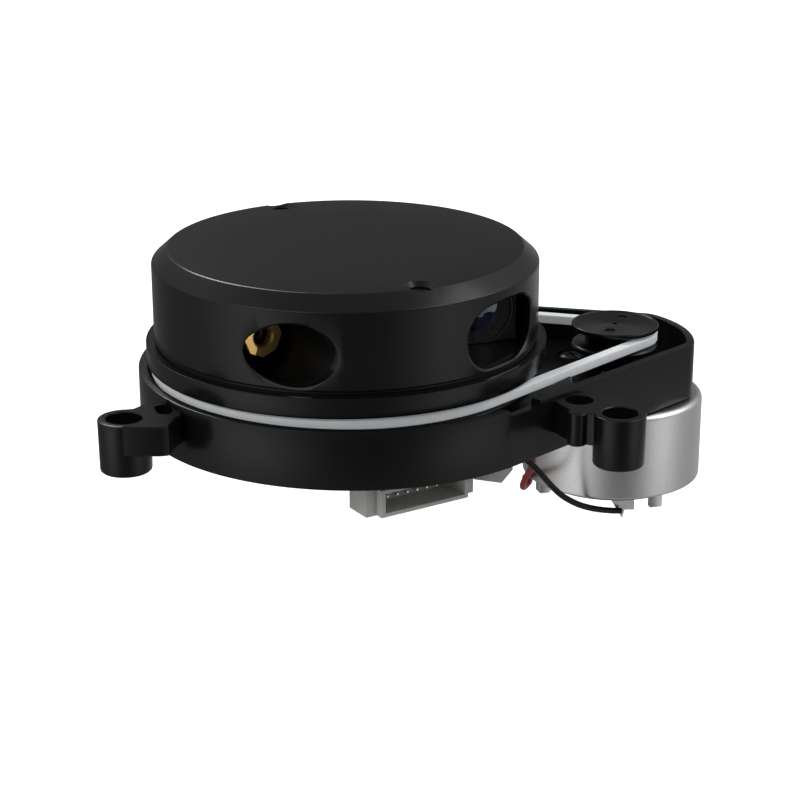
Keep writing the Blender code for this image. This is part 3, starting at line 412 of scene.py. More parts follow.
def softened(outline, radius, steps=3):
    """A closed outline with its corners rounded; radius is one value or one for each corner."""
    radii = radius if hasattr(radius, "__len__") else [radius] * len(outline)
    points = []
    for index, here in enumerate(outline):
        corner = Vector(here)
        back = Vector(outline[index - 1]) - corner
        ahead = Vector(outline[(index + 1) % len(outline)]) - corner
        half = back.angle(ahead) / 2
        if radii[index] <= 0 or half > STRAIGHT:
            points.append((corner.x, corner.y))
            continue
        run = min(radii[index] / math.tan(half), LONGEST_RUN * back.length, LONGEST_RUN * ahead.length)
        curve_r = run * math.tan(half)
        middle = corner + (back.normalized() + ahead.normalized()).normalized() * curve_r / math.sin(half)
        first = corner + back.normalized() * run - middle
        last = corner + ahead.normalized() * run - middle
        sweep = first.angle_signed(last)
        for step in range(steps + 1):
            turn = -sweep * step / steps
            points.append((middle.x + first.x * math.cos(turn) - first.y * math.sin(turn),
                           middle.y + first.x * math.sin(turn) + first.y * math.cos(turn)))
    return points


def turned(profile, segments, centre=(0.0, 0.0)):
    """Closed (radius, height) outline turned about a vertical axis."""
    bm = bmesh.new()
    rings = []
    for radius, height in profile:
        if radius < ON_AXIS:
            rings.append([bm.verts.new((centre[0], centre[1], height))])
            continue
        rings.append([bm.verts.new((*point, height)) for point in circle(centre, radius, segments)])
    for here, there in zip(rings, rings[1:] + rings[:1]):
        if len(here) == 1 and len(there) == 1:
            continue
        for step in range(segments):
            after = (step + 1) % segments
            corners = [here[step % len(here)], there[step % len(there)],
                       there[after % len(there)], here[after % len(here)]]
            bm.faces.new(list(dict.fromkeys(corners)))
    return bm


def join_rings(bm, here, there):
    """A band of quads between two closed rings of as many points."""
    for step in range(len(here)):
        after = (step + 1) % len(here)
        bm.faces.new((here[step], here[after], there[after], there[step]))


def lofted(loops):
    """Closed solid through loops of 3-D points, with flat ends."""
    bm = bmesh.new()
    rings = [[bm.verts.new(point) for point in loop] for loop in loops]
    for here, there in zip(rings, rings[1:]):
        join_rings(bm, here, there)
    bm.faces.new(list(reversed(rings[0])))
    bm.faces.new(rings[-1])
    return bm


def prism(outline, low, high):
    """A plan outline raised from one height to another."""
    return lofted([[(x, y, low) for x, y in outline], [(x, y, high) for x, y in outline]])


def shrunk(outline, inset):
    """A plan outline moved inwards, corner by corner; the outline runs anticlockwise."""
    points = []
    for index, here in enumerate(outline):
        corner = Vector(here)
        back = (corner - Vector(outline[index - 1])).normalized()
        ahead = (Vector(outline[(index + 1) % len(outline)]) - corner).normalized()
        left = Vector((-back.y, back.x)) + Vector((-ahead.y, ahead.x))
        reach = inset / max(SHARPEST, left.length / 2)
        points.append(tuple(corner + left.normalized() * reach))
    return points


def block(outline, low, high, edge=0.15, corners=None):
    """A prism with softened corners, top and bottom edges; corners may give each corner's radius."""
    radii = corners or [edge] * len(outline)
    area = sum(a[0] * b[1] - b[0] * a[1] for a, b in zip(outline, outline[1:] + outline[:1]))
    if area < 0:
        outline = list(reversed(outline))
        radii = list(reversed(radii))
    around = softened(outline, radii, 4 if corners else 2)
    inner = shrunk(around, edge)
    levels = [(inner, low), (around, low + edge), (around, high - edge), (inner, high)]
    return lofted([[(x, y, z) for x, y in loop] for loop, z in levels])


def merged(parts):
    """One bmesh that holds several."""
    whole = bmesh.new()
    for part in parts:
        mesh = bpy.data.meshes.new("part")
        part.to_mesh(mesh)
        part.free()
        whole.from_mesh(mesh)
        bpy.data.meshes.remove(mesh)
    return whole


def aimed(bm, front, turn):
    """Lay a shape made about +Z so that +Z points outwards, turned from -Y, with its origin at a point."""
    for degrees, axis in ((90, "X"), (turn, "Z")):
        rotation = Matrix.Rotation(math.radians(degrees), 3, axis)
        bmesh.ops.rotate(bm, verts=bm.verts, cent=(0, 0, 0), matrix=rotation)
    bmesh.ops.translate(bm, verts=bm.verts, vec=front)
    return bm


def turned_box(origin, turn, low, high, edge=0.0):
    """A box between two corners given in a frame of its own, which is turned about +Z."""
    corners = []
    for corner in box_outline(low, high):
        x, y = turned_point(corner, turn)
        corners.append((origin[0] + x, origin[1] + y))
    bottom = origin[2] + low[2]
    top = origin[2] + high[2]
    return block(corners, bottom, top, edge) if edge else prism(corners, bottom, top)


def linked(name, data):
    """A new object for some data, linked to the scene."""
    obj = bpy.data.objects.new(name, data)
    bpy.context.scene.collection.objects.link(obj)
    return obj


def new_object(name, bm):
    """An object made from a bmesh in millimetres."""
    bmesh.ops.recalc_face_normals(bm, faces=bm.faces)
    bmesh.ops.scale(bm, vec=(MM, MM, MM), verts=bm.verts)
    mesh = bpy.data.meshes.new(name)
    bm.to_mesh(mesh)
    bm.free()
    return linked(name, mesh)


def shade(obj):
    """Smooth shading that keeps the real edges sharp."""
    obj.data.shade_smooth()
    obj.data.set_sharp_from_angle(angle=math.radians(SHARP_DEGREES))


def combine(obj, steps):
    """Apply Boolean steps, each (operation, bmesh), to an object's mesh."""
    for operation, bm in steps:
        tool = new_object("tool", bm)
        step = obj.modifiers.new("step", "BOOLEAN")
        step.operation = operation
        step.object = tool
        step.solver = "EXACT"
        graph = bpy.context.evaluated_depsgraph_get()
        mesh = bpy.data.meshes.new_from_object(obj.evaluated_get(graph))
        obj.modifiers.clear()
        old = obj.data
        obj.data = mesh
        bpy.data.meshes.remove(old)
        tool_mesh = tool.data
        bpy.data.objects.remove(tool)
        bpy.data.meshes.remove(tool_mesh)
    shade(obj)


def dress(obj, body, paint, nodes=()):
    """Paint a piece, let it ride on a body, and hide the CAD nodes it stands for."""
    obj.data.materials.clear()
    obj.data.materials.append(PAINTS[paint])
    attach(obj, body)
    if nodes:
        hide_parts(*nodes)
    return obj


def piece(name, bm, body, paint, nodes=(), steps=()):
    """A finished piece: shape, Boolean steps, shading, paint and body."""
    obj = new_object(name, bm)
    if steps:
        combine(obj, steps)
    else:
        shade(obj)
    return dress(obj, body, paint, nodes)


# ------------ camera, floor and light

def camera():
    """Long-lens camera that looks down at the module from its front left."""
    data = bpy.data.cameras.new("photo_camera")
    data.lens = LENS_MM
    data.sensor_width = SENSOR_MM
    data.clip_start = CLIP_START_M
    data.clip_end = CLIP_END_M
    obj = linked("photo_camera", data)
    turn = Matrix((CAMERA_RIGHT, CAMERA_UP, CAMERA_BACK)).transposed()
    obj.matrix_world = Matrix.Translation(Vector(CAMERA_AT) * MM) @ turn.to_4x4()
    bpy.context.scene.camera = obj


def floor():
    """Pale floor that turns up into a far backdrop all round."""
    low = CAD_BOX[0][2] / MM - FLOOR_DROP
    profile = [(FLOOR_R * share, low) for share in FLOOR_SHARES]
    profile += [(FLOOR_R + FLOOR_BEND_R * math.sin(a), low + FLOOR_BEND_R * (1 - math.cos(a)))
                for a in [math.radians(15 * step) for step in range(7)]]
    profile.append((FLOOR_R + FLOOR_BEND_R, low + BACKDROP_HEIGHT))
    bm = bmesh.new()
    rings = []
    for radius, height in profile:
        rings.append([bm.verts.new((*point, height)) for point in circle((0, 0), radius, FLOOR_SEGMENTS)])
    bm.faces.new(rings[0])
    for here, there in zip(rings, rings[1:]):
        join_rings(bm, here, there)
    obj = new_object("studio_floor", bm)
    obj.data.shade_smooth()
    made, tree, shader = shader_of("pale_floor")
    colour = ramp(tree, noise(tree, 6.0), [(RAMP_LOW, 0.50), (RAMP_HIGH, 0.54)])
    tree.links.new(colour, shader.inputs["Base Color"])
    fill(shader, {"Roughness": 0.9, "Specular IOR Level": 0.0, "Emission Color": (1, 1, 1, 1),
                  "Emission Strength": 0.95})
    obj.data.materials.append(made)
    obj.visible_glossy = False
    obj.visible_diffuse = False
    obj.visible_transmission = False
    obj.visible_shadow = False


def direction(azimuth, elevation):
    """Unit vector towards an azimuth, counted from +X, and an elevation, both in degrees."""
    turn = math.radians(azimuth)
    rise = math.radians(elevation)
    return Vector((math.cos(turn) * math.cos(rise), math.sin(turn) * math.cos(rise), math.sin(rise)))


# Soft light in the room: azimuth and elevation it comes from, how bright, how tight
ROOM_BASE = 0.34
ROOM_LOBES = [(-158, -12, 0.85, 10), (-46, -14, 0.62, 14), (5, 42, 0.60, 10), (165, 30, 0.55, 10),
              (50, -18, 0.14, 16), (72, 22, -0.22, 6), (120, -22, -0.20, 4), (-98, -5, -0.26, 3)]

# Lamps: where each stands as azimuth and elevation, then its size or what it is aimed at, and its watts
LAMP_DISTANCE = 900.0
SOFT_BOXES = [("key_box", -150, 38, (700, 500), 1.4), ("fill_box", -25, 42, (700, 500), 2.4),
              ("back_box", 102, 44, (380, 320), 3.6)]
SPOTS = [("port_spot", -52, 0, LASER_PORT, 0.7, 8.0), ("lens_spot", -112, 13, CAMERA_FRONT, 0.6, 6.0)]
SPOT_BLEND = 0.6
SPOT_SOURCE_R = 4.0


def math_step(tree, operation, source, value):
    """A math node that takes a socket and one fixed value."""
    node = tree.nodes.new("ShaderNodeMath")
    node.operation = operation
    node.inputs[1].default_value = value
    tree.links.new(source, node.inputs[0])
    return node


def world():
    """Soft room light: a base level, brighter towards some sides and darker towards others."""
    made = bpy.data.worlds.new("soft_room")
    bpy.context.scene.world = made
    made.use_nodes = True
    tree = made.node_tree
    coords = tree.nodes.new("ShaderNodeTexCoord")
    total = None
    for azimuth, elevation, strength, tightness in ROOM_LOBES:
        dot = tree.nodes.new("ShaderNodeVectorMath")
        dot.operation = "DOT_PRODUCT"
        dot.inputs[1].default_value = direction(azimuth, elevation)
        tree.links.new(coords.outputs["Generated"], dot.inputs[0])
        facing = math_step(tree, "MAXIMUM", dot.outputs["Value"], 0.0)
        power = math_step(tree, "POWER", facing.outputs[0], tightness)
        scaled = math_step(tree, "MULTIPLY_ADD", power.outputs[0], strength)
        if total is None:
            scaled.inputs[2].default_value = ROOM_BASE
        else:
            tree.links.new(total, scaled.inputs[2])
        total = scaled.outputs[0]
    background = tree.nodes["Background"]
    tree.links.new(total, background.inputs["Strength"])
    fill(background, {"Color": (1, 1, 1, 1)})


def place_lamp(data, azimuth, elevation, target):
    """Stand a lamp at its distance from a target and point it there, out of the camera's sight."""
    obj = linked(data.name, data)
    away = direction(azimuth, elevation)
    obj.location = (Vector(target) + away * LAMP_DISTANCE) * MM
    obj.rotation_euler = away.to_track_quat("Z", "Y").to_euler()
    obj.visible_camera = False


def soft_box(name, azimuth, elevation, size, watts):
    """A large rectangular lamp aimed at the module."""
    data = bpy.data.lights.new(name, "AREA")
    data.shape = "RECTANGLE"
    data.size = size[0] * MM
    data.size_y = size[1] * MM
    data.energy = watts
    place_lamp(data, azimuth, elevation, (0, 0, 0))


def aimed_spot(name, azimuth, elevation, target, half_angle, watts):
    """A narrow lamp aimed through a window at the optics behind it."""
    data = bpy.data.lights.new(name, "SPOT")
    data.spot_size = math.radians(2 * half_angle)
    data.spot_blend = SPOT_BLEND
    data.shadow_soft_size = SPOT_SOURCE_R * MM
    data.energy = watts
    place_lamp(data, azimuth, elevation, target)


def lights():
    """Every lamp of the studio."""
    for settings in SOFT_BOXES:
        soft_box(*settings)
    for settings in SPOTS:
        aimed_spot(*settings)


# ------------ leads

ROUTE_STEPS = 20  # fine steps between two points of a route
LEAD_SIDES = 6  # bevel resolution


def smooth_route(points, spacing):
    """Evenly spaced points on a Catmull-Rom curve through the route's own points."""
    ends = [2 * Vector(points[0]) - Vector(points[1])]
    knots = ends + [Vector(point) for point in points] + [2 * Vector(points[-1]) - Vector(points[-2])]
    fine = []
    for index in range(1, len(knots) - 2):
        p0, p1, p2, p3 = knots[index - 1:index + 3]
        for step in range(ROUTE_STEPS):
            t = step / ROUTE_STEPS
            fine.append(0.5 * ((2 * p1) + (p2 - p0) * t + (2 * p0 - 5 * p1 + 4 * p2 - p3) * t ** 2
                               + (3 * p1 - p0 - 3 * p2 + p3) * t ** 3))
    fine.append(knots[-2])
    lengths = [0.0]
    for here, there in zip(fine, fine[1:]):
        lengths.append(lengths[-1] + (there - here).length)
    count = max(2, round(lengths[-1] / spacing))
    route = []
    place = 0
    for step in range(count + 1):
        target = lengths[-1] * step / count
        while place < len(lengths) - 2 and lengths[place + 1] < target:
            place += 1
        share = (target - lengths[place]) / (lengths[place + 1] - lengths[place])
        route.append(fine[place].lerp(fine[place + 1], share))
    return route


def lead(name, node, route, paint):
    """A motor lead as a free cord of its real length."""
    curve = bpy.data.curves.new(name, "CURVE")
    curve.dimensions = "3D"
    curve.bevel_depth = LEAD_R * MM
    curve.bevel_resolution = LEAD_SIDES
    curve.use_fill_caps = True
    points = smooth_route(route, LEAD_STEP / 2)
    spline = curve.splines.new("POLY")
    spline.points.add(len(points) - 1)
    for target, point in zip(spline.points, points):
        target.co = (*(point * MM), 1.0)
    spline.use_smooth = True
    obj = linked(name, curve)
    dress(obj, "base", paint, [node])


# ------------ head

CUTTER_OUTSIDE = 9.0  # how far a window's cutter reaches outside the wall
CUTTER_INSIDE = 7.0
CUTTER_SLOPE = 1.0  # the chamfer's cone runs on this far outside the wall
FOOT_TOP_Z = SKIRT_TOP_Z + 0.1  # where the posts and the sill stand in the cover
OVERLAP = 0.3  # how far joined shapes run into each other


def window_cutter(outline, wider, origin, turn):
    """A window run straight through the round wall, with a chamfer that follows the wall.

    The outlines are in (across, up) about the origin; wider is the outline well outside the chamfer.
    """
    across = Vector(turned_point((1, 0), turn))
    outward = Vector(turned_point((0, -1), turn))
    loops = [[], [], [], []]
    for (u, v), (wide_u, wide_v) in zip(outline, wider):
        near = Vector(origin[:2]) + across * u
        far = Vector(origin[:2]) + across * wide_u
        wall = -near.dot(outward) + math.sqrt(near.dot(outward) ** 2 - near.length_squared + HEAD_R ** 2)
        skew = far.dot(outward) ** 2 - far.length_squared + HEAD_R ** 2
        wall_far = -far.dot(outward) + math.sqrt(max(skew, 0.0))
        spots = [(far, wide_v, wall_far + CUTTER_OUTSIDE), (far, wide_v, wall_far + CUTTER_SLOPE),
                 (near, v, wall - WINDOW_CHAMFER), (near, v, wall - CUTTER_INSIDE)]
        for loop, (foot, height, reach) in zip(loops, spots):
            point = foot + outward * reach
            loop.append((point.x, point.y, origin[2] + height))
    return lofted(loops)


def window_cutters():
    """Both windows: the round laser port and the camera's rounded opening."""
    spread = WINDOW_CHAMFER + CUTTER_SLOPE
    port = window_cutter(circle((0, 0), LASER_PORT_R, 72), circle((0, 0), LASER_PORT_R + spread, 72),
                         LASER_PORT, LASER_TURN)
    plain = softened(CAMERA_WINDOW, CAMERA_WINDOW_RADII, 14)
    return [port, window_cutter(plain, shrunk(plain, -spread), (0, 0, 0), 0)]


def cover_profile(inside_r, roof_z):
    """Turned section of the cover: foot flange, wall, chamfer, top and the hollow inside."""
    foot_r = SKIRT_R - 0.2
    foot_z = SKIRT_TOP_Z - SEAM
    corner_z = HEAD_TOP_Z - HEAD_CHAMFER
    outline = [(foot_r, FLANGE_SEAT_Z), (foot_r, foot_z), (HEAD_R - 0.5, foot_z)]
    outline += arc((HEAD_R - 0.1, SKIRT_TOP_Z + 0.72), 0.4, 180, 250, 4)
    outline += arc((HEAD_R - 0.5, SKIRT_TOP_Z + 1.0), 0.5, -60, 0, 6)
    outline += softened([(HEAD_R, SKIRT_TOP_Z + 3.5), (HEAD_R, corner_z), (HEAD_TOP_R, HEAD_TOP_Z),
                         (20, HEAD_TOP_Z)], [0, 0.5, 0.6, 0], 5)
    return outline + [(0, HEAD_TOP_Z), (0, roof_z), (inside_r - 2, roof_z), (inside_r, corner_z - 1.6),
                      (inside_r, FLANGE_SEAT_Z)]


def screw_well(place):
    """Deep well over a cover screw, with a sloped mouth."""
    step_z = HEAD_TOP_Z - 1.5
    well = [(0, 13), (SCREW_THREAD_R, 13), (SCREW_THREAD_R, SCREW_HEAD_Z), (SCREW_HEAD_R, SCREW_HEAD_Z),
            (SCREW_HEAD_R, step_z), (WELL_R, step_z + 0.3), (WELL_R, HEAD_TOP_Z - WELL_MOUTH_DEPTH),
            (WELL_MOUTH_R, HEAD_TOP_Z), (WELL_MOUTH_R + 1, HEAD_TOP_Z + 1), (0, HEAD_TOP_Z + 1)]
    return turned(well, 48, place)


def head_cover():
    """Cover with a chamfered top, a thin foot flange, two windows and two deep screw wells."""
    inside_r = HEAD_R - COVER_WALL
    roof_z = HEAD_TOP_Z - COVER_ROOF
    posts = []
    holes = window_cutters()
    for angle in COVER_SCREW_ANGLES:
        place = turned_point((COVER_SCREW_R, 0), angle)
        posts.append(prism(circle(place, COVER_POST_R, 48), FOOT_TOP_Z, roof_z + OVERLAP))
        holes.append(screw_well(place))
    sill = arc((0, 0), inside_r + OVERLAP, *SILL_ANGLES, 24) + [(25.6, SILL_BACK_Y), (11.4, SILL_BACK_Y)]
    ledge = lofted([[(x, y, FOOT_TOP_Z) for x, y in sill],
                    [(x, y, SILL_BACK_Z if y > SILL_BACK_Y - 0.1 else SILL_FRONT_Z) for x, y in sill]])
    steps = [("UNION", merged(posts)), ("DIFFERENCE", merged(holes)), ("UNION", ledge)]
    cover = turned(cover_profile(inside_r, roof_z), HEAD_SEGMENTS)
    return piece("cover_shell", cover, "head", "black_plastic", ["head_cover"], steps)


def head_deck():
    """Turning deck with its hub, skirt and belt groove."""
    seat_r = SKIRT_R - 0.15
    seat_z = FLANGE_SEAT_Z - SEAM
    outline = [(13.15, 5.7), (16.0, 5.7), (16.0, 12.9), (29.6, 12.9), (29.6, FLANGE_BOTTOM_Z),
               (FLANGE_R, FLANGE_BOTTOM_Z), (FLANGE_R, FLANGE_TOP_Z), (GROOVE_R, FLANGE_TOP_Z),
               (GROOVE_R, SKIRT_BOTTOM_Z), (SKIRT_R, SKIRT_BOTTOM_Z), (SKIRT_R, SKIRT_TOP_Z),
               (seat_r, SKIRT_TOP_Z), (seat_r, seat_z), (30.9, seat_z), (30.9, SKIRT_TOP_Z),
               (6.5, SKIRT_TOP_Z), (6.5, 13.2), (10.9, 13.2), (10.9, 12.2), (11.8, 12.2), (11.8, 11.3),
               (13.15, 11.3)]
    radii = [0.1, 0.3, 0.4, 0.4, 0.3, 0.25, 0.2, 0.3, 0.3, 0.3, 0.06, 0.02, 0.02, 0.02] + [0.1] * 8
    holes = []
    for angle in COVER_SCREW_ANGLES:
        place = turned_point((COVER_SCREW_R, 0), angle)
        holes.append(prism(circle(place, SCREW_THREAD_R, 24), 12, 15))
    for x, y, radius in DECK_HOLES:
        holes.append(prism(circle((x, y), radius, 24), 12, 15))
    return piece("turning_deck", turned(softened(outline, radii), HEAD_SEGMENTS), "head", "black_plastic",
                 ["head_base"], [("DIFFERENCE", merged(holes))])


# ------------ base housing

LEFT_BOSS = (-41.3, -16.3)
LEFT_WEB = [(-42.3, -20.5), (-36.6, -22.2), (-35.2, -22.2), (-33.6, -19.0), (-32.0, -17.0),
            (-32.0, -10.5), (-37.7, -10.9), (-39.2, -12.1), (-41.6, -12.0)]
RIGHT_BOSS = (35.9, -36.5)
RIGHT_COLUMN = (29.5, -34.15)
RIGHT_COLUMN_R = 1.6
RIGHT_WEB = [(27.5, -27.5), (28.5, -32.6), (29.5, -34.15), (31.2, -35.6), (33.0, -37.4), (35.9, -36.5),
             (40.2, -36.5), (39.7, -29.4), (37.4, -28.4), (35.0, -25.5), (31.5, -23.5)]
FILLER_ANGLES = (-54.0, -38.0)
FILLER_END = [(33.9, -19.3), (32.75, -23.3), (33.2, -24.0)]
LEFT_SLOT = [(-34.5, -15.0), (-34.5, -13.1)]
LEFT_SLOT_R = 1.35
WEB_HOLE = (31.8, 28.9)
WEB_HOLE_R = 2.35
NOTCH = [(-3, -65), (1, -63.5), (1, -52.5), (-3, -52.5)]  # from the ring's outside, and the angle
NOTCH_DEPTH = 1.1


def mirrored(points):
    """The outline on the other side of the XZ plane, still running the same way round."""
    return [(x, -y) for x, y in reversed(points)]


def tail_outline(inset):
    """Plan outline of the ring and its tail, moved inwards by an inset."""
    lean = math.radians(TAIL_LEAN)
    normal = Vector((math.cos(lean), math.sin(lean)))
    side = normal.x * RING_X + RING_R
    inner = TAIL_END_R - TAIL_CORNER_R
    offset = side - TAIL_CORNER_R - normal.x * TAIL_END_X
    along = math.sqrt(inner ** 2 - offset ** 2)
    corner = Vector((TAIL_END_X, 0)) + normal * offset + Vector((normal.y, -normal.x)) * along
    end_angle = math.degrees(math.atan2(corner.y, corner.x - TAIL_END_X))
    points = arc((RING_X, 0), RING_R - inset, TAIL_LEAN, 360 - TAIL_LEAN, 150)
    points += arc((corner.x, -corner.y), TAIL_CORNER_R - inset, -TAIL_LEAN, -end_angle, 12)
    points += arc((TAIL_END_X, 0), TAIL_END_R - inset, -end_angle, end_angle, 30)[1:-1]
    points += arc((corner.x, corner.y), TAIL_CORNER_R - inset, end_angle, TAIL_LEAN, 12)
    return points


def tail_solid(levels):
    """Loft of the tail outline through (inset, height) levels."""
    return lofted([[(x, y, z) for x, y in tail_outline(inset)] for inset, z in levels])


def lug_boss(centre):
    """Round boss of a mounting lug, with a slight draft."""
    profile = [(0, 0), (LUG_BOSS_R - 0.1, 0), (LUG_BOSS_R, LUG_TOP_Z), (0, LUG_TOP_Z)]
    return turned(softened(profile, [0, 0.5, EDGE, 0], 3), 72, centre)


def right_web(side):
    """Web of a right-hand lug with the round column at its corner; side is 1 in front and -1 behind."""
    outline = RIGHT_WEB if side > 0 else mirrored(RIGHT_WEB)
    web = block(outline, LUG_WEB_Z, LUG_TOP_Z, EDGE)
    profile = [(0, LUG_WEB_Z), (RIGHT_COLUMN_R, LUG_WEB_Z), (RIGHT_COLUMN_R, LUG_TOP_Z), (0, LUG_TOP_Z)]
    column = softened(profile, [0, EDGE, EDGE, 0], 3)
    return [web, turned(column, 40, (RIGHT_COLUMN[0], side * RIGHT_COLUMN[1]))]


def corner_filler():
    """Wedge between the ring wall and the front of the tail, clear of the belt."""
    outline = arc((RING_X, 0), RING_R - WALL, *FILLER_ANGLES, 12) + FILLER_END
    outline += arc((RING_X, 0), RING_R - WALL / 2, FILLER_ANGLES[0], FILLER_ANGLES[0], 1)[:1]
    return block(outline, FLOOR_TOP_Z - 0.5, RIM_Z - FINE_EDGE, EDGE, [0] * len(outline))


def lug_hole(centre):
    """Through hole with a counterbore and a softened mouth."""
    profile = [(0, -1), (LUG_HOLE_R, -1), (LUG_HOLE_R, LUG_SEAT_Z), (LUG_BORE_R, LUG_SEAT_Z),
               (LUG_BORE_R, LUG_TOP_Z - LUG_MOUTH), (LUG_BORE_R + LUG_MOUTH + 1, LUG_TOP_Z + 1),
               (0, LUG_TOP_Z + 1)]
    return turned(profile, 56, centre)


def slot_outline(centre_a, centre_b, radius):
    """Outline of a slot that runs along Y from one centre to the other."""
    return arc(centre_a, radius, 180, 360, 14) + arc(centre_b, radius, 0, 180, 14)


def housing_holes(lugs, board_posts):
    """Every hole of the housing: screws, lugs, webs, axle, motor and the notch in the rim."""
    holes = [prism(circle(place, BOARD_SCREW_R, 24), 0, 3.0) for place in board_posts]
    holes += [lug_hole(place) for place in lugs]
    low = LUG_WEB_Z - 1
    high = LUG_TOP_Z + 1
    holes.append(prism(slot_outline(*LEFT_SLOT, LEFT_SLOT_R), low, high))
    for side in (-1, 1):
        holes.append(prism(circle((WEB_HOLE[0], side * WEB_HOLE[1]), WEB_HOLE_R, 40), low, high))
    holes.append(prism(circle((0, 0), AXLE_HOLE_R, 48), 0, 14))
    holes.append(prism(circle((PULLEY_X, 0), BUSH_HOLE_R, 48), -1, FLOOR_TOP_Z + 1))
    holes += [turned(MOTOR_SCREW_HOLE, 32, place) for place in MOTOR_SCREWS]
    notch = []
    for reach, angle in NOTCH:
        x, y = turned_point((RING_R + reach, 0), angle)
        notch.append((x + RING_X, y))
    holes.append(prism(notch, RIM_Z - NOTCH_DEPTH, RIM_Z + 1))
    return holes


def base_housing():
    """Ring wall, tail, floor, bearing post and three mounting lugs in one moulding."""
    body = tail_solid([(0.22, 0.0), (0.06, 0.06), (0.0, 0.22), (0.0, RIM_Z - EDGE), (0.07, RIM_Z - 0.07),
                       (EDGE, RIM_Z)])
    lugs = [LEFT_BOSS, RIGHT_BOSS, (RIGHT_BOSS[0], -RIGHT_BOSS[1])]
    tray = tail_solid([(WALL + 0.5, FLOOR_TOP_Z), (WALL + 0.13, FLOOR_TOP_Z + 0.13),
                       (WALL, FLOOR_TOP_Z + 0.5), (WALL, RIM_Z - FINE_EDGE), (WALL - FINE_EDGE, RIM_Z),
                       (WALL - FINE_EDGE - 0.8, RIM_Z + 0.8)])
    pocket = turned([(0, -1), (UNDER_POCKET_R, -1), (UNDER_POCKET_R, FLOOR_BOTTOM_Z),
                     (0, FLOOR_BOTTOM_Z)], 128)
    board_posts = [turned_point((BOARD_POST_PLACE_R, 0), angle) for angle in BOARD_POST_ANGLES]
    standoffs = [prism(circle(place, BOARD_POST_R, 32), PCB_TOP_Z + 0.3, FLOOR_BOTTOM_Z + OVERLAP)
                 for place in board_posts]
    steps = [("UNION", merged([lug_boss(place) for place in lugs])),
             ("UNION", block(LEFT_WEB, LEFT_WEB_Z, LUG_TOP_Z, EDGE))]
    steps += [("UNION", merged(parts)) for parts in zip(right_web(1), right_web(-1))]
    steps += [("DIFFERENCE", tray), ("UNION", corner_filler()), ("DIFFERENCE", pocket),
              ("UNION", turned(POST_PROFILE, 72)), ("UNION", merged(standoffs)),
              ("DIFFERENCE", merged(housing_holes(lugs, board_posts)))]
    return piece("housing_shell", body, "base", "black_plastic", ["base_housing"], steps)


# ------------ belt drive and motor

def belt():
    """Belt of soft square section, swept as one closed loop over both wheels."""
    lean = math.degrees(math.acos((BELT_HEAD_R - BELT_PULLEY_R) / PULLEY_X))
    path = arc((0, 0), BELT_HEAD_R, lean, 360 - lean, 150)
    path += arc((PULLEY_X, 0), BELT_PULLEY_R, -lean, lean, 36)
    half = BELT_R - BELT_SHRINK
    low = BELT_CUT_LOW - half
    high = half - BELT_CUT_HIGH
    section = softened(box_outline((-half, low), (half, high)), BELT_CORNER_R, 4)
    bm = bmesh.new()
    rings = []
    for index, (x, y) in enumerate(path):
        along = (Vector(path[(index + 1) % len(path)]) - Vector(path[index - 1])).normalized()
        ring = []
        for across, up in section:
            ring.append(bm.verts.new((x + along.y * across, y - along.x * across, BELT_Z + up)))
        rings.append(ring)
    for here, there in zip(rings, rings[1:] + rings[:1]):
        join_rings(bm, here, there)
    return piece("belt_loop", bm, "base", "belt_rubber", ["drive_belt"])


def pulley():
    """Grooved pulley with a thin raised rim and two shallow marks in its top."""
    outline = [(1.15, 4.2), (3.2, 4.2), (3.2, 7.2), (7.3, 7.2), (7.75, 7.5), (7.75, 8.1), (7.4, 8.45),
               (5.3, 8.45), (5.3, 10.95), (7.4, 10.95), (7.75, 11.2), (7.75, 11.8), (7.6, 11.95),
               (7.35, 11.95), (7.25, 11.8), (0.45, 11.8), (0.45, 11.6), (1.15, 11.6)]
    marks = [prism(circle((PULLEY_X + x, y), PULLEY_MARK_R, 28), 11.62, 13) for x, y in PULLEY_MARKS]
    wheel = turned(softened(outline, 0.12, 2), 120, (PULLEY_X, 0))
    return piece("pulley_wheel", wheel, "motor_rotor", "black_plastic", ["drive_pulley"],
                 [("DIFFERENCE", merged(marks))])


def motor_case():
    """Drawn can with a rounded shoulder and a rolled bottom rim."""
    inside_r = MOTOR_R - 1.0
    outline = [(1.9, 1.9), (3.9, 1.9), (3.9, MOTOR_TOP_Z), (MOTOR_R, MOTOR_TOP_Z), (MOTOR_R, MOTOR_BOTTOM_Z),
               (inside_r, MOTOR_BOTTOM_Z), (inside_r, -2.0), (2.9, -1.6), (1.9, 1.0)]
    radii = [0.1, 0.3, 0.4, 1.2, 0.55, 0.2, 0.5, 0.3, 0.1]
    can = turned(softened(outline, radii, 6), 160, (PULLEY_X, 0))
    taps = [prism(circle(place, MOTOR_TAP_R, 24), -4, 1) for place in MOTOR_SCREWS]
    return piece("motor_case", can, "base", "motor_steel", ["motor_can"], [("DIFFERENCE", merged(taps))])


TERMINALS = [(PULLEY_X - 2.2, -10.6), (PULLEY_X + 3.5, 10.6)]
TERMINAL_SLOT = (1.5, 0.45)  # half its length and half its width
FRONT_TAB = ((53.0, -11.1), (55.3, -9.9))
LEFT_TAB = ((34.2, -4.6), (36.6, -2.4))


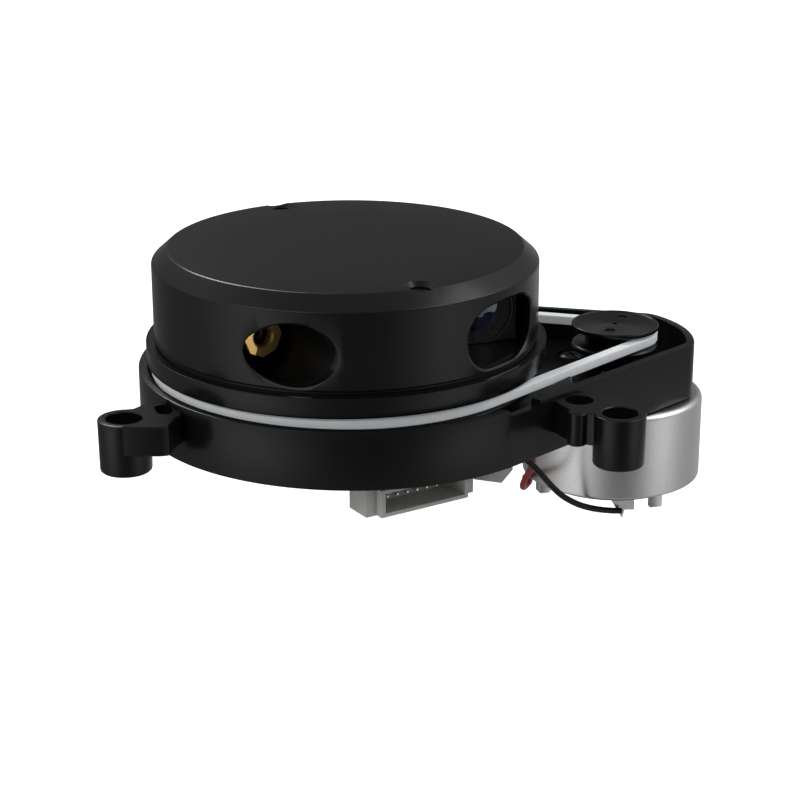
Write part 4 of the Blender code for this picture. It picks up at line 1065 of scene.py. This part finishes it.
def motor_cap():
    """End cap pressed into the can, with its bearing boss and two terminal slots."""
    outline = [(1.5, -17.4), (3.4, -17.4), (4.2, -16.9), (13.6, -16.8), (14.3, -16.1), (14.6, -15.4),
               (14.6, -13.6), (2.9, -13.6), (2.9, -15.6), (1.5, -15.6)]
    slots = []
    half_x, half_y = TERMINAL_SLOT
    for x, y in TERMINALS:
        slots.append(prism(box_outline((x - half_x, y - half_y), (x + half_x, y + half_y)), -18, -12))
    return piece("motor_cap", turned(softened(outline, 0.2, 3), 96, (PULLEY_X, 0)), "base", "dark_plastic",
                 ["motor_end_cap"], [("DIFFERENCE", merged(slots))])


def motor_tabs():
    """Bent metal tabs under the motor: one beside the front tag, one at the rim on the left."""
    piece("front_tab", block(box_outline(*FRONT_TAB), -19.8, -16.2, 0.1), "base", "tin")
    piece("left_tab", block(box_outline(*LEFT_TAB), -17.6, -15.2, 0.4), "base", "tin")


# ------------ connectors

def connector_place(along, inward, up):
    """World point measured from the main connector's front left foot corner."""
    x, y = turned_point((along, inward), CONNECTOR_TURN)
    return (CONNECTOR_CORNER[0] + x, CONNECTOR_CORNER[1] + y, CONNECTOR_CORNER[2] + up)


def connector_box(low, high, edge=0.0):
    """A box of the main connector, between two corners given as along, inward and up."""
    return turned_box(CONNECTOR_CORNER, CONNECTOR_TURN, low, high, edge)


def main_connector():
    """Eight-way side-entry header with its wings and square pins."""
    width, depth, height = CONNECTOR_SIZE
    shell = connector_box((0, 0, 0), (width, depth, height), 0.12)
    wings = connector_box((-2, 1.5, 0), (width + 2, depth - 0.1, height), 0.12)
    mouth = connector_box((0.8, -1, 0.7), (width - 0.7, 5.2, height - 0.7))
    holes = []
    for number in range(PIN_COUNT):
        along = FIRST_PIN + PIN_PITCH * number
        holes.append(connector_box((along - PIN_HOLE_HALF, 5.0, PIN_HEIGHT - PIN_HOLE_HALF),
                                   (along + PIN_HOLE_HALF, depth + 1, PIN_HEIGHT + PIN_HOLE_HALF)))
    piece("header_shell", shell, "base", "connector_plastic", ["main_connector"],
          [("UNION", wings), ("DIFFERENCE", mouth), ("DIFFERENCE", merged(holes))])
    for number in range(PIN_COUNT):
        connector_pin(number)


def connector_pin(number):
    """Square pin with a tapered tip: straight back through the header, then up to the board."""
    along = FIRST_PIN + PIN_PITCH * number
    half = PIN_HALF
    reach = CONNECTOR_SIZE[1] + 0.9
    top = PCB_TOP_Z - PCB_THICK - 0.1 - CONNECTOR_CORNER[2]
    spots = [(1.0, PIN_HEIGHT, 0.6), (1.25, PIN_HEIGHT, 1.0), (reach - 0.3, PIN_HEIGHT, 1.0)]
    loops = []
    for inward, up, share in spots:
        size = half * share
        loops.append([connector_place(along + a * size, inward, up + b * size)
                      for a, b in ((-1, -1), (1, -1), (1, 1), (-1, 1))])
    for height in (PIN_HEIGHT - half, top):
        lean = half if height < top else 0.0
        loops.append([connector_place(along - half, reach + half, height),
                      connector_place(along + half, reach + half, height),
                      connector_place(along + half, reach - half, height + 2 * lean),
                      connector_place(along - half, reach - half, height + 2 * lean)])
    piece(f"header_pin_{number + 1}", lofted(loops), "base", "tin", [f"connector_pin_{number + 1}"])


def plug_box(low, high, edge=0.0):
    """A box of the motor's plug or header, in the plug's own turned frame."""
    return turned_box(PLUG_CENTRE, PLUG_TURN, low, high, edge)


def motor_plug():
    """Two-way header on the board and the lead plug that sits in it."""
    header = plug_box((-4.4, -2.5, PLUG_LOW_Z), (2.0, 2.5, -1.5), 0.12)
    mouth = plug_box((-3.0, -1.9, PLUG_LOW_Z + 0.6), (3.0, 1.9, -2.1))
    piece("lead_header", header, "base", "connector_plastic", ["motor_header"], [("DIFFERENCE", mouth)])
    body = plug_box((-1.0, -1.6, PLUG_LOW_Z + 0.9), (4.2, 1.6, -2.4), 0.15)
    return piece("lead_plug", body, "base", "connector_plastic", ["motor_plug"])


# ------------ optics

LASER_BLOCK = ((-5.5, 3.0, 14.7), (5.5, 13.0, 27.2))  # across, inward and height
LASER_BORE_R = 3.3
COLLAR_R = 4.3
HOOD_WALL = 0.6
HOOD_LENGTH = 12.5
FLANGE_NUT_R = 3.55
TUBE_R = 3.0
BARREL_R = 4.3  # inside the first of the barrel's stepped rings
RING_COUNT = 4
RING_STEP_R = 0.3
RING_STEP_DEPTH = 0.42


def laser_block():
    """Mount of the laser, with a notched collar."""
    front = LASER_FRONT
    turn = LASER_TURN
    body = turned_box((front[0], front[1], 0.0), turn, *LASER_BLOCK)
    collar = turned(softened([(LASER_BORE_R, -0.5), (COLLAR_R, -0.5), (COLLAR_R, -4.0),
                              (LASER_BORE_R, -4.0)], 0.12, 2), 72)
    bore = aimed(prism(circle((0, 0), LASER_BORE_R, 48), -30, 10), front, turn)
    notch = aimed(prism([(0, 0), (6, -0.6), (6, -7), (1.2, -7)], -2.9, 2), front, turn)
    piece("laser_block", body, "head", "dark_plastic", ["laser_mount"],
          [("UNION", aimed(collar, front, turn)), ("DIFFERENCE", merged([bore, notch]))])


def laser_hood():
    """Polished tube from the laser to its port, cut off where the cover's wall begins."""
    inner_r = LASER_PORT_R - 0.05
    outer_r = LASER_PORT_R + HOOD_WALL
    room_r = HEAD_R - COVER_WALL - 0.03
    tube = turned([(inner_r, 3.0), (outer_r, 3.0), (outer_r, -HOOD_LENGTH), (inner_r, -HOOD_LENGTH)], 96)
    room = turned([(0, 14.6), (room_r, 14.6), (room_r, 28.0), (0, 28.0)], 240)
    piece("laser_hood", aimed(tube, LASER_PORT, LASER_TURN), "head", "hood_plastic", (),
          [("INTERSECT", room)])


def laser_unit():
    """Mount, hood, brass barrel with its eight-sided flange, and lens."""
    front = LASER_FRONT
    turn = LASER_TURN
    laser_block()
    laser_hood()
    flange = softened(circle((0, 0), FLANGE_NUT_R, 8), 0.6, 4)
    nut = lofted([[(x * share, y * share, z) for x, y in flange]
                  for share, z in ((1.0, -1.5), (1.0, -0.18), (0.96, 0.0))])
    tube = turned([(0, -16.0), (TUBE_R, -16.0), (TUBE_R, -1.2), (0, -1.2)], 48)
    hollow = turned([(0, -17), (2.2, -17), (2.2, -2.0), (1.6, -1.5), (1.6, -0.35), (2.0, 0.05), (2.0, 1),
                     (0, 1)], 48)
    piece("laser_tube", aimed(nut, front, turn), "head", "brass", ["laser_barrel"],
          [("UNION", aimed(tube, front, turn)), ("DIFFERENCE", aimed(hollow, front, turn))])
    lens = [(0, -1.75), (1.0, -1.85), (1.75, -2.1), (2.05, -2.4), (2.05, -3.4), (0, -3.4)]
    piece("laser_window", aimed(turned(lens, 48), front, turn), "head", "glass", ["laser_lens"])


def camera_unit():
    """Lens barrel with stepped rings round a domed glass."""
    radius = BARREL_R
    depth = -2.2
    outline = [(radius, -2.6), (radius, depth)]
    for _ in range(RING_COUNT):
        outline.append((radius + 0.26, depth))
        radius += RING_STEP_R
        depth += RING_STEP_DEPTH
        outline.append((radius, depth))
    outline += [(5.6, -0.15), (5.7, 0), (5.85, 0), (6.3, -0.45), (6.3, -1.6), (5.6, -1.6), (5.6, -12.0),
                (4.6, -12.0), (4.6, -2.9)]
    barrel = aimed(turned(outline, 96), CAMERA_FRONT, 0)
    piece("camera_barrel", barrel, "head", "dark_plastic", ["lens_barrel"])
    dome = []
    for step in range(13):
        radius = GLASS_R * step / 12
        dome.append((radius, GLASS_FRONT - GLASS_DOME_R + math.sqrt(GLASS_DOME_R ** 2 - radius ** 2)))
    glass = dome + [(GLASS_R, GLASS_BACK), (0, GLASS_BACK)]
    piece("camera_glass", aimed(turned(glass, 64), CAMERA_FRONT, 0), "head", "glass", ["lens_glass"])


# ------------ what stays as CAD

def paint_cad_nodes():
    """Give each CAD node that stays on show the finished material of its slot."""
    for obj in frame["nodes"].values():
        for place in obj.material_slots:
            slot = place.material.name.split(".")[0] if place.material else None
            if slot in PAINTS:
                place.material = PAINTS[slot]


def main():
    """Build the studio and every finished piece."""
    bpy.context.scene.view_settings.view_transform = "Standard"
    camera()
    plug = motor_plug()
    lead("black_wire", "black_lead", BLACK_LEAD, "black_sleeve")
    lead("red_wire", "red_lead", RED_LEAD, "red_sleeve")
    floor()
    world()
    lights()
    paint_cad_nodes()
    head_cover()
    head_deck()
    base_housing()
    belt()
    pulley()
    motor_case()
    motor_cap()
    motor_tabs()
    main_connector()
    laser_unit()
    camera_unit()


main()
